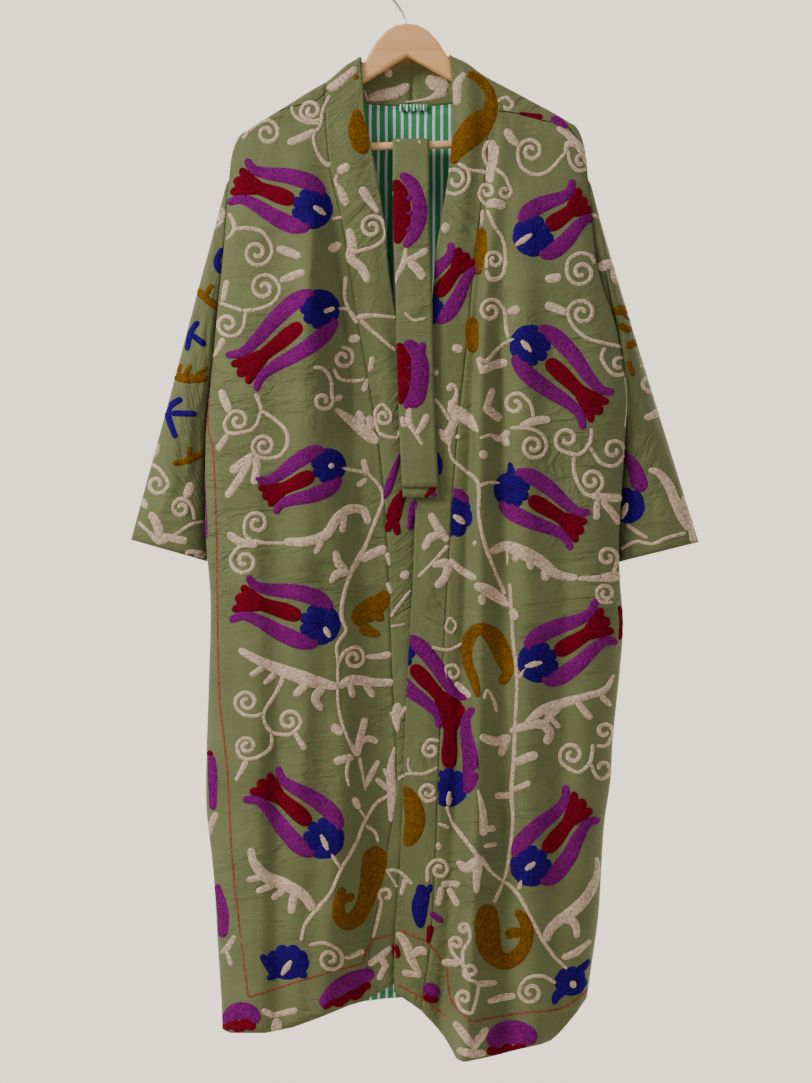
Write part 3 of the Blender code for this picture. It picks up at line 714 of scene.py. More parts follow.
def back_point(even, top_across, top, ridge, depth_share, drop):
    """A point of the back. Its columns start at the stations of the top edge and spread evenly below."""
    left_out, left_depth = reading(SIDE_LINE["left"], drop)
    right_out, right_depth = reading(SIDE_LINE["right"], drop)
    first_left, first_right = SIDE_LINE["left"][0][1], SIDE_LINE["right"][0][1]
    share = (top_across + first_left) / (first_left + first_right)
    share = blend(share, even, ease((drop - top - 60) / 320))
    seen = blend(-left_out, right_out, share)
    high, lean = folds("back", seen, drop)
    high += creases("back", seen, drop) * ease((drop - ridge - 20) / 50) * 1.2
    flat = back_depth(seen, drop, ridge) + high
    side_depth = left_depth if seen < 0 else right_depth
    behind = blend(armhole(drop) - side_depth, flat, depth_share)
    if drop - ridge < OVER_ARM[-1][0]:
        behind = max(behind, 0) * (1 if depth_share == 1 else turned_over(drop - ridge))
    return seen + lean * depth_share, drop, max(behind, -side_depth)


def back_grid():
    """The back as columns of across, drop and depth, for the back itself and for its lining."""
    columns = back_columns()
    rounded = sum(1 for column in columns if column[3] < 1) // 2
    whole = SIDE_LINE["left"][0][1] + SIDE_LINE["right"][0][1]
    first = (columns[rounded][0] + SIDE_LINE["left"][0][1]) / whole
    grid = []
    for k, (across, top, ridge, depth_share) in enumerate(columns):
        even = blend(first, 1 - first, (k - rounded) / (len(columns) - 1 - 2 * rounded))
        if depth_share < 1:
            even = (across + SIDE_LINE["left"][0][1]) / whole
        drops = panel_drops(top, plain_reading(BACK_HEM, even))
        grid.append([back_point(even, across, top, ridge, depth_share, drop) for drop in drops])
    return grid


back_shape = back_grid()
columns = [[(place(*point), (point[0], point[1])) for point in column] for column in back_shape]
outward = Vector((0, 1, 0))
pieces["back"] = cloth_wall("back_cloth", list(zip(*columns)), CLOTH, outward, (green_cotton, lining_cotton))
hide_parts("back")


# The lining hangs loose inside the back from the neck to just above the hem. It shows in the neck and,
# where the fronts part, at the hem. A short gathered frill is tacked over the middle of its top edge.

LINING = 1.2
LINING_SPACE = 0.7
LINING_BELOW_NECK = 4
LINING_BELOW_BOARD = 9
LINING_ABOVE_HEM = 10
LINING_ROWS = 96
FRILL = {
    "left": -7.0,
    "right": 28.0,
    "top": 169.5,
    "length": 8.0,
    "waves": 4.5,
    "off lining": 1.2,
    "flare": 1.6,
    "wave": 1.9,
    "dip": 0.8,  # how much lower the crest of a wave hangs
    "follows": 174,  # above this drop it keeps the depth that the back has there
    "gathered": 2.4,  # the width of its cloth over its own
}
FRILL_COLUMNS = 60

# The underside of the board, which the lining hangs below. columns: out, drop
BOARD_BOTTOM = [(198, 236.0), (178, 222.5), (120, 184.0), (80, 157.8), (40, 134.8), (4, 113.4), (0, 111.7)]


def make_lining():
    inward = CLOTH / 2 + LINING_SPACE + LINING / 2
    rounded = sum(1 for column in back_columns() if column[3] < 1) // 2
    under_arm = sorted(
        tilted(sign * out, drop) for sign in (-1, 1) for out, drop in BOARD_BOTTOM if out or sign > 0
    )
    columns = []
    for column in back_shape[rounded + 2 : -rounded - 2]:
        drops = [point[1] for point in column]
        first = max(drops[0] + LINING_BELOW_NECK, plain_reading(under_arm, column[0][0]) + LINING_BELOW_BOARD)
        points = []
        for k in range(LINING_ROWS + 1):
            drop = blend(first, drops[-1] - LINING_ABOVE_HEM, k / LINING_ROWS)
            across = float(np.interp(drop, drops, [point[0] for point in column]))
            behind = float(np.interp(drop, drops, [point[2] for point in column]))
            points.append((place(across, drop, behind - inward), (across, drop)))
        columns.append(points)
    finishes = (lining_cotton,)
    return cloth_wall("back_lining", list(zip(*columns)), LINING, Vector((0, -1, 0)), finishes)


pieces["lining_back"] = make_lining()
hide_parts("lining_back")


def make_frill():
    """A scrap of the striped cotton, gathered along its top and flared below."""
    top = crest(SEAM_LINE["left"][0][1])
    inward = CLOTH / 2 + LINING_SPACE + LINING
    columns = []
    for k in range(FRILL_COLUMNS + 1):
        across = blend(FRILL["left"], FRILL["right"], k / FRILL_COLUMNS)
        waves = math.sin(k / FRILL_COLUMNS * math.tau * FRILL["waves"])
        points = []
        for share in (0.0, 0.08, 0.18, 0.3, 0.45, 0.6, 0.75, 0.88, 1.0):
            out = FRILL["off lining"] + (FRILL["flare"] + FRILL["wave"] * waves) * ease(share / 0.5)
            drop = FRILL["top"] + (FRILL["length"] + FRILL["dip"] * waves) * share
            behind = back_depth(across, max(drop, FRILL["follows"]), top) - inward - out
            points.append((place(across, drop, behind), (across * FRILL["gathered"], drop)))
        columns.append(points)
    return cloth_wall("lining_frill", list(zip(*columns)), LINING, Vector((0, -1, 0)), (lining_cotton,))


lining_frill = make_frill()


# The band is a double strip of the cotton with a thin stiffening, sewn along the neck and both front
# edges and joined behind the neck. It stands up round the neck and rolls softly beside the opening.

BAND_CLOTH = 2.4
# The band's free edge. columns: drop, across, depth towards the viewer
FREE_EDGE = {
    "left": [
        (113, -56, 8), (150, -53, 10), (192, -50, 12), (240, -40, 13), (315, -27, 14), (382, -20, 14.5),
        (434, -12, 15), (522, 1, 16), (616, 15, 17), (734, 24, 18), (880, 30, 20), (1033, 35, 21),
        (1132, 22, 22), (1189, 12, 22.5), (1236, 3, 23), (1285, -8, 24),
    ],
    "right": [
        (113, 56, 8), (150, 59, 11), (192, 60, 14), (245, 57, 16), (314, 47, 18), (362, 39, 19),
        (403, 36, 20), (471, 30, 22), (573, 20, 24), (674, 14, 26), (773, 10, 28), (928, 1.5, 30),
        (1081, -4, 31), (1149, -7, 31), (1218, -12.5, 31.5), (1298, -14, 32),
    ],
}
# How far the middle of the band stands out of its edges. columns: drop, roll
BAND_ROLL = {
    "left": [(140, 0.5), (220, 2.5), (400, 2), (700, 1), (1320, 1)],
    "right": [(140, 2), (190, 8), (260, 6), (400, 3), (700, 1), (1320, 1)],
}
CREST_FREE = {"left": 112.5, "right": 110.5}
CENTRE_FREE = 107.5
# The band bows up between its edges where it lies over an arm, and its corner there is cut back.
BAND_ARCH = 2.2
ARCH_FALL = 14
BAND_WIDTH = 56
# Stations of the half neck between those of NECK_ROWS
NECK_BETWEEN = (0.1, 0.13, 0.21, 0.25, 0.35, 0.42, 0.56, 0.63, 0.8, 0.9)


def band_rows(side):
    """Rows of the band from the centre back over the arm and down the front: seam and free edge points."""
    sign = SIGN[side]
    top = crest(sign * SEAM_LINE[side][0][1])
    free_start = FREE_EDGE[side][0][1]
    rows = []
    at, *others = zip(*NECK_ROWS)
    for share in sorted({*at, *NECK_BETWEEN}, reverse=True):
        fall, free_share, free_fall, free_behind = (float(np.interp(share, at, other)) for other in others)
        across, drop = neck_seam(side, share, fall)
        seam = (across, drop, back_depth(across, drop, top))
        free_drop = blend(CENTRE_FREE, CREST_FREE[side], free_share) + free_fall
        free = (blend(CENTRE_BACK, free_start, free_share), free_drop, free_behind)
        rows.append((seam, free, 0.0, BAND_ARCH * (1 - ease(fall / ARCH_FALL))))
    hem = FRONT_HEM[side][0][1]
    free_hem = FREE_EDGE[side][-1][0]
    for drop in panel_drops(top, hem)[1:]:
        share = (drop - top) / (hem - top)
        out, depth = reading(SEAM_LINE[side], drop)
        turned = turned_over(drop - top)
        seam = (sign * out, drop, -depth * turned)
        free_drop = blend(CREST_FREE[side], free_hem, share)
        free_across, free_depth = reading(FREE_EDGE[side], free_drop)
        free = (free_across, free_drop, -free_depth * turned_over(free_drop - CREST_FREE[side]))
        wave = 0.8 * noise.noise((drop / 30, len(side), 3.1)) * turned
        roll = reading(BAND_ROLL[side], drop)[0] * turned + wave
        rows.append((seam, free, roll, BAND_ARCH * (1 - ease((drop - top) / ARCH_FALL))))
    return rows


def make_band(side):
    points = []
    length = 0.0
    last = None
    for seam, free, roll, arch in band_rows(side):
        middle = np.array(place(*(blend(a, b, 0.5) for a, b in zip(seam, free)))) / MM
        length += 0.0 if last is None else float(np.linalg.norm(middle - last))
        last = middle
        row = []
        for share in (0.0, 0.06, 0.12, 0.2, 0.3, 0.4, 0.5, 0.6, 0.7, 0.8, 0.88, 0.94, 1.0):
            level = ease((share - 0.1) / 0.9)
            across = blend(seam[0], free[0], share)
            drop = blend(seam[1], free[1], share) - arch * math.sin(math.pi * level)
            behind = blend(seam[2], free[2], level) - roll * math.sin(math.pi * level)
            row.append((place(across, drop, behind), (share * BAND_WIDTH, length)))
        points.append(row)
    return cloth_wall(f"band_{side}_cloth", points, BAND_CLOTH, Vector((0, -1, 0)), (green_cotton,))


for side in ("left", "right"):
    pieces[f"band_{side}"] = make_band(side)
    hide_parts(f"band_{side}")


# The sleeves are straight wide tubes of the same cotton, set in flat and open at the cuff.
# They hang close to the coat's sides.

# columns: share of the length, outer edge out, outer edge drop, inner edge drop, depth of the middle behind
# the hanger, half depth
SLEEVE = {
    "left": [
        (0.0, 224.5, 268, 479, 0, 11), (0.12, 239, 322, 512, 2, 15), (0.35, 267, 427, 574, 5, 21),
        (0.6, 297, 541, 641, 7, 24), (0.8, 322, 633, 697, 8, 25), (1.0, 347, 725, 752, 9, 25),
    ],
    "right": [
        (0.0, 233.5, 268, 479, 0, 11), (0.12, 248, 322, 512, 2, 15), (0.35, 279, 427, 574, 5, 21),
        (0.6, 314, 541, 641, 7, 24), (0.8, 343, 634, 697, 8, 25), (1.0, 372, 728, 753, 9, 25),
    ],
}
SLEEVE_CLEAR = {"left": 0.5, "right": 0.7}
# The inner edges follow the side seams down to this drop, where the body is widest.
SLEEVE_FOLLOWS = 719
# The cloth of a sleeve, all round and from shoulder to cuff
SLEEVE_ROUND = 420
SLEEVE_LENGTH = 470
SLEEVE_RIPPLE = 2.6
# The mesh of a sleeve. Its rings lie a little closer together at the shoulder.
SLEEVE_SIDES = 56
SLEEVE_RINGS = 60
RINGS_CROWD = 1.1


def make_sleeve(side):
    sign = SIGN[side]
    points = []
    for ring in range(SLEEVE_RINGS + 1):
        share = (ring / SLEEVE_RINGS) ** RINGS_CROWD
        outer, outer_drop, inner_drop, middle, half = reading(SLEEVE[side], share)
        body_side = reading(SIDE_LINE[side], min(inner_drop, SLEEVE_FOLLOWS))[0]
        inner = body_side + SLEEVE_CLEAR[side] - 0.5 * share
        row = []
        for k in range(SLEEVE_SIDES + 1):
            turn = math.tau * (k % SLEEVE_SIDES) / SLEEVE_SIDES
            along = (1 + math.cos(turn)) / 2
            across = sign * blend(inner, outer, along)
            drop = blend(inner_drop, outer_drop, along)
            if ring == 0:
                across = sign * (reading(SIDE_LINE[side], drop)[0] + SLEEVE_CLEAR[side])
            front = turn > math.pi
            ripple = noise.noise((along * 5, share * 7, sign * 2.0 + (1 if front else 4)))
            ripple += 0.6 * noise.noise((along * 11, share * 15, sign * 3.0 + (2 if front else 6)))
            depth = middle + half * math.sin(turn)
            depth += SLEEVE_RIPPLE * ripple * ease(share / 0.15) * abs(math.sin(turn)) * (-1 if front else 1)
            row.append((place(across, drop, depth), (SLEEVE_ROUND * k / SLEEVE_SIDES, share * SLEEVE_LENGTH)))
        points.append(row)
    finishes = (green_cotton, lining_cotton)
    return cloth_wall(f"sleeve_{side}_cloth", points, CLOTH, None, finishes, closed=True)


for side in ("left", "right"):
    pieces[f"sleeve_{side}"] = make_sleeve(side)
    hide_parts(f"sleeve_{side}")


# The tie belt is a double strip of the cotton, folded over the hanger's bar so that it falls in two layers.

BAR_DROP = 224.3
BELT_TURN = 7.6
# The belt, folded over the bar. columns: drop, middle across, depth towards the viewer
BELT_FRONT = [
    (232, 7.5, 9.5), (260, 7.5, 12.5), (305, 7.5, 19), (360, 9, 26), (410, 11, 30.5), (460, 12, 32),
    (520, 13.5, 33), (580, 15.5, 34), (620, 17.5, 35), (658, 19.5, 36),
]
BELT_WIDTH = 46.0
BELT_CLOTH = 2.2
BELT_END = {"front": 658.0, "rear": 671.0}
BELT_REAR_SHIFT = 0.5
BELT_SPACE = 3.0
# Between these drops the rear half comes off the bar's far side and in behind the front half.
LEAVES_BAR = (275, 230)
# Rows of each half and over the bar, and columns
BELT_ROWS = 60
TURN_ROWS = 12
BELT_COLUMNS = 12
# The belt's middle stands out by this much and its edges lie back as far, more and more between these drops.
BELT_FLUTE = 1.0
FLUTE_DROPS = (250, 310)
# How much lower the wrinkles run at the right edge than at the left one
WRINKLE_SLANT = 22


def belt_path():
    """The belt's middle line from its front end, up over the bar and down to its rear end."""
    end_drop = BELT_END["front"]
    front = []
    for k in range(BELT_ROWS + 1):
        drop = blend(end_drop, BELT_FRONT[0][0], k / BELT_ROWS)
        middle, depth = reading(BELT_FRONT, drop)
        front.append((middle, drop, -depth))
    turn = []
    for k in range(TURN_ROWS + 1):
        angle = math.pi * k / TURN_ROWS
        lift, behind = BELT_TURN * math.sin(angle), -BELT_TURN * math.cos(angle)
        turn.append((BELT_FRONT[0][1], BAR_DROP - lift, behind))
    rear = []
    for k in range(BELT_ROWS + 1):
        drop = blend(BELT_FRONT[0][0], BELT_END["rear"], k / BELT_ROWS)
        middle, depth = reading(BELT_FRONT, min(drop, end_drop))
        near_bar = between(LEAVES_BAR, drop)
        behind = blend(BELT_SPACE - depth, BELT_TURN, near_bar)
        rear.append((middle + BELT_REAR_SHIFT * ease((drop - BELT_FRONT[0][0]) / 120), drop, behind))
    return front + turn + rear


# columns: drop, half height of the wrinkle, height
BELT_WRINKLES = [
    (418, 7, -1.6), (430, 6, 1.4), (446, 8, -1.0), (300, 12, 0.6), (520, 14, 0.8), (590, 12, -0.8),
]


def make_belt():
    rows = []
    length = 0.0
    last = None
    for middle, drop, behind in belt_path():
        spot = np.array(place(middle, drop, behind)) / MM
        length += 0.0 if last is None else float(np.linalg.norm(spot - last))
        last = spot
        row = []
        for k in range(BELT_COLUMNS + 1):
            share = k / BELT_COLUMNS - 0.5
            wrinkle = 0.0
            if drop > 260:
                for at, half, high in BELT_WRINKLES:
                    wrinkle += high * math.exp(-(((drop + share * WRINKLE_SLANT - at) / half) ** 2))
            flute = BELT_FLUTE * math.cos(math.tau * share) * between(FLUTE_DROPS, drop)
            across = BELT_WIDTH * share
            row.append((place(middle + across, drop, behind - wrinkle - flute), (across, length)))
        rows.append(row)
    return cloth_wall("belt_cloth", rows, BELT_CLOTH, Vector((0, -1, 0)), (green_cotton,))


pieces["belt"] = make_belt()
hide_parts("belt")


# The flowers, leaves and vines are chain stitch in loose wool, worked on the cloth before it was sewn up.
# Every row of stitches stands a little over a millimetre proud and sinks into the cotton at its sides.

YARNS = {
    "magenta": (0.156, 0.005, 0.132),
    "red": (0.142, 0.003, 0.011),
    "blue": (0.014, 0.0002, 0.128),
    "cream": (0.560, 0.410, 0.290),
    "mustard": (0.155, 0.066, 0.003),
    "rust": (0.230, 0.072, 0.042),
    # Not a yarn: the cloth's green much darkened, for the painted shadow along the shoulder seams
    "seam": (0.022, 0.026, 0.010),
}
# A yarn's colour differs from stroke to stroke by up to this share.
DYE_STRAYS = 0.10
YARN_HEIGHT = 1.5
YARN_SUNK = 0.45
STITCH = 2.4
ROW_WIDTH = 1.9
# Half widths of a vine, of the thin rust lines and of the painted shadow lines along the shoulder seams
VINE = 2.7
RUST_LINE = 1.8
SEAM_SHADOW_HALF = 1.1
# A face of stitching that would span more depth than this has the edge of a fold inside it and is left out.
DEEPEST_FACE = 24

# The motifs' places were read from zoomed views of the photo, so their tables are in its pixels.
# A pixel is PHOTO_MM wide at the coat's middle. MIDDLE_PX is under the hook and TOP_PX at the board's top.
PHOTO_MM = 1.27
MIDDLE_PX = 405
TOP_PX = 24
TOP_DROP = 70
# A cream stroke from this half width on is a leaf, and is worked a little fuller than it is drawn.
LEAF_PX = 3
CREAM_FULLER = 1.14

# columns: x, y, heading of the middle petal, its length in pixels, bend at the tip in mm, spread
TULIPS = {
    "body": [
        (312, 208, 203, 84, -6, 1),
        (320, 309, 140, 107, 3, 0.96),
        (329, 466, 150, 74, 8, 0.85),
        (320, 624, 202, 90, -9, 1),
        (324, 838, 227, 88, -12, 1),
        (533, 236, 329, 66, -6, 1),
        (530, 345, 41, 100, 6, 1),
        (512, 489, 27, 84, 8, 0.88),
        (538, 662, 333, 84, -8, 1),
        (531, 866, 315, 86, -12, 1),
    ],
    "band_right": [
        (426, 308, 309, 70, -3, 0.85),
        (398, 652, 43, 86, 9, 0.85),
    ],
    "front_right": [
        (448, 787, 272, 84, 0, 0.95),
    ],
}

# rows: the points that the vine's end passes, the middle of its curl, and the curl's turns. columns: x, y
CURLS = {
    "body": [
        ([(243, 139), (252, 127), (265, 120)], (267, 133), 1.4),
        ([(324, 118), (313, 121), (302, 115)], (311, 111), 1.3),
        ([(234, 229), (250, 228), (263, 233), (272, 247), (270, 257)], (257, 252), 1.4),
        ([(243, 311), (258, 309), (273, 303), (280, 291), (276, 280)], (264, 288), -1.4),
        ([(246, 312), (243, 328), (234, 336), (224, 334)], (228, 324), 1.2),
        ([(353, 252), (375, 246), (385, 236), (383, 222)], (372, 227), -1.4),
        ([(341, 346), (350, 350)], (343, 358), 1.2),
        ([(379, 433), (375.5, 421), (376, 411), (382, 404), (388, 409)], (383.5, 417), 1.3),
        ([
            (262, 411), (275, 419), (286, 431), (287, 445), (278, 456), (262, 458), (253, 449),
        ], (264, 446), 1.5),
        ([(262, 411), (255, 426), (244, 432), (229, 433), (224.5, 424), (230, 414)], (238, 421), 1.2),
        ([(314, 367), (324, 369), (331, 380), (332, 394)], (323, 400), 1.3),
        ([(255, 543), (246, 535), (245, 522)], (257, 523), 1.4),
        ([(254, 545), (240, 547), (231, 558)], (244, 561), -1.4),
        ([(338, 664), (344, 652), (356, 647)], (354, 658), 1.4),
        ([(264, 713), (254, 716), (243, 714), (236, 706)], (247, 702), 1.4),
        ([(264, 722), (272, 732), (289, 734), (300, 725)], (289, 721), -1.3),
        ([(272, 732), (270, 748), (255, 758), (241, 757), (237, 747)], (247, 746), 1.4),
        ([(373, 937), (378, 918), (381, 901)], (386, 895), 1),
        ([(309, 945), (325, 943), (340, 951), (342, 962)], (330, 959), 1.3),
        ([(565, 153), (556, 163), (545, 173), (532, 174), (521, 165), (518, 150)], (531, 151), 1.5),
        ([(568, 150), (570, 162), (577, 170)], (581, 161), -1.2),
        ([(458, 163), (468, 170), (469, 182), (462, 192), (450, 193)], (455, 180), 1.3),
        ([(487, 268), (487, 256)], (495, 260), 1.2),
        ([(594, 264), (592, 256), (580, 253), (569, 260), (567, 273)], (581, 272), -1.4),
        ([(624, 347), (604, 343), (586, 337), (573, 325), (568, 312)], (582, 313), 1.5),
        ([(605, 347), (602, 358), (610, 371)], (619, 364), -1.3),
        ([(508, 338), (506, 325), (504, 310), (496, 300)], (491, 311), -1.4),
        ([(533, 418), (531, 404), (522, 395)], (515, 404), -1.2),
        ([(510, 428), (528, 428), (542, 434), (547, 446)], (533, 446), 1.5),
        ([(592, 428), (590, 442), (580, 454), (567, 452)], (567, 439), 1.3),
        ([(590, 447), (600, 462), (614, 466), (624, 456)], (614, 450), -1.2),
        ([(574, 456), (574, 472), (582, 490), (592, 496), (601, 488)], (592, 481), -1.3),
        ([(612, 575), (617, 562)], (607, 557), -1.3),
        ([(613, 602), (600, 601), (597, 591)], (606, 593), 1.2),
        ([(593, 744), (590, 762), (578, 772), (564, 765)], (572, 755), 1.4),
        ([(590, 762), (596, 776), (603, 778)], (602, 768), -0.8),
        ([(596, 745), (606, 745), (612, 736)], (604, 731), -1.1),
        ([(556, 983), (543, 976), (527, 978), (519, 990)], (531, 992), -1.3),
        ([(470, 978), (463, 965), (463, 950), (470, 938), (468, 926)], (463, 928), -1.1),
        ([(463, 965), (452, 952), (450, 943)], (456, 943), 1.1),
        ([(472, 1014), (477, 998), (478, 984), (470, 980)], (471, 971), 1.1),
        ([(472, 1014), (462, 1010), (457, 1000)], (464, 997), 1.1),
        ([(428, 882), (428, 868), (434, 861)], (440, 870), 1.3),
        ([(440, 741), (430, 740), (424, 747)], (431, 750), -1.1),
        ([(437, 797), (428, 801), (421, 795)], (429, 792), 1.1),
        ([(490, 170), (484, 155), (487, 143)], (491, 152), 0.6),
        ([(494, 168), (504, 175), (511, 190)], (505, 192), 1),
        ([(486, 205), (480, 196), (482, 186)], (487, 191), 1),
        ([(498, 101), (506, 97), (512, 102)], (507, 105), 0.6),
        ([(447, 682), (446, 668), (453, 665)], (453, 673), 0.9),
    ],
    "sleeve_left": [
        ([(208, 230), (221, 223), (224, 212)], (216, 215), -1.3),
        ([(155, 437), (158, 450), (151, 462), (160, 470), (168, 482)], (157, 484), 1.2),
        ([(195, 520), (192, 506), (184, 499)], (181, 508), -1.3),
    ],
    "sleeve_right": [
        ([(640, 366), (652, 368), (660, 380)], (650, 383), 1.3),
    ],
}

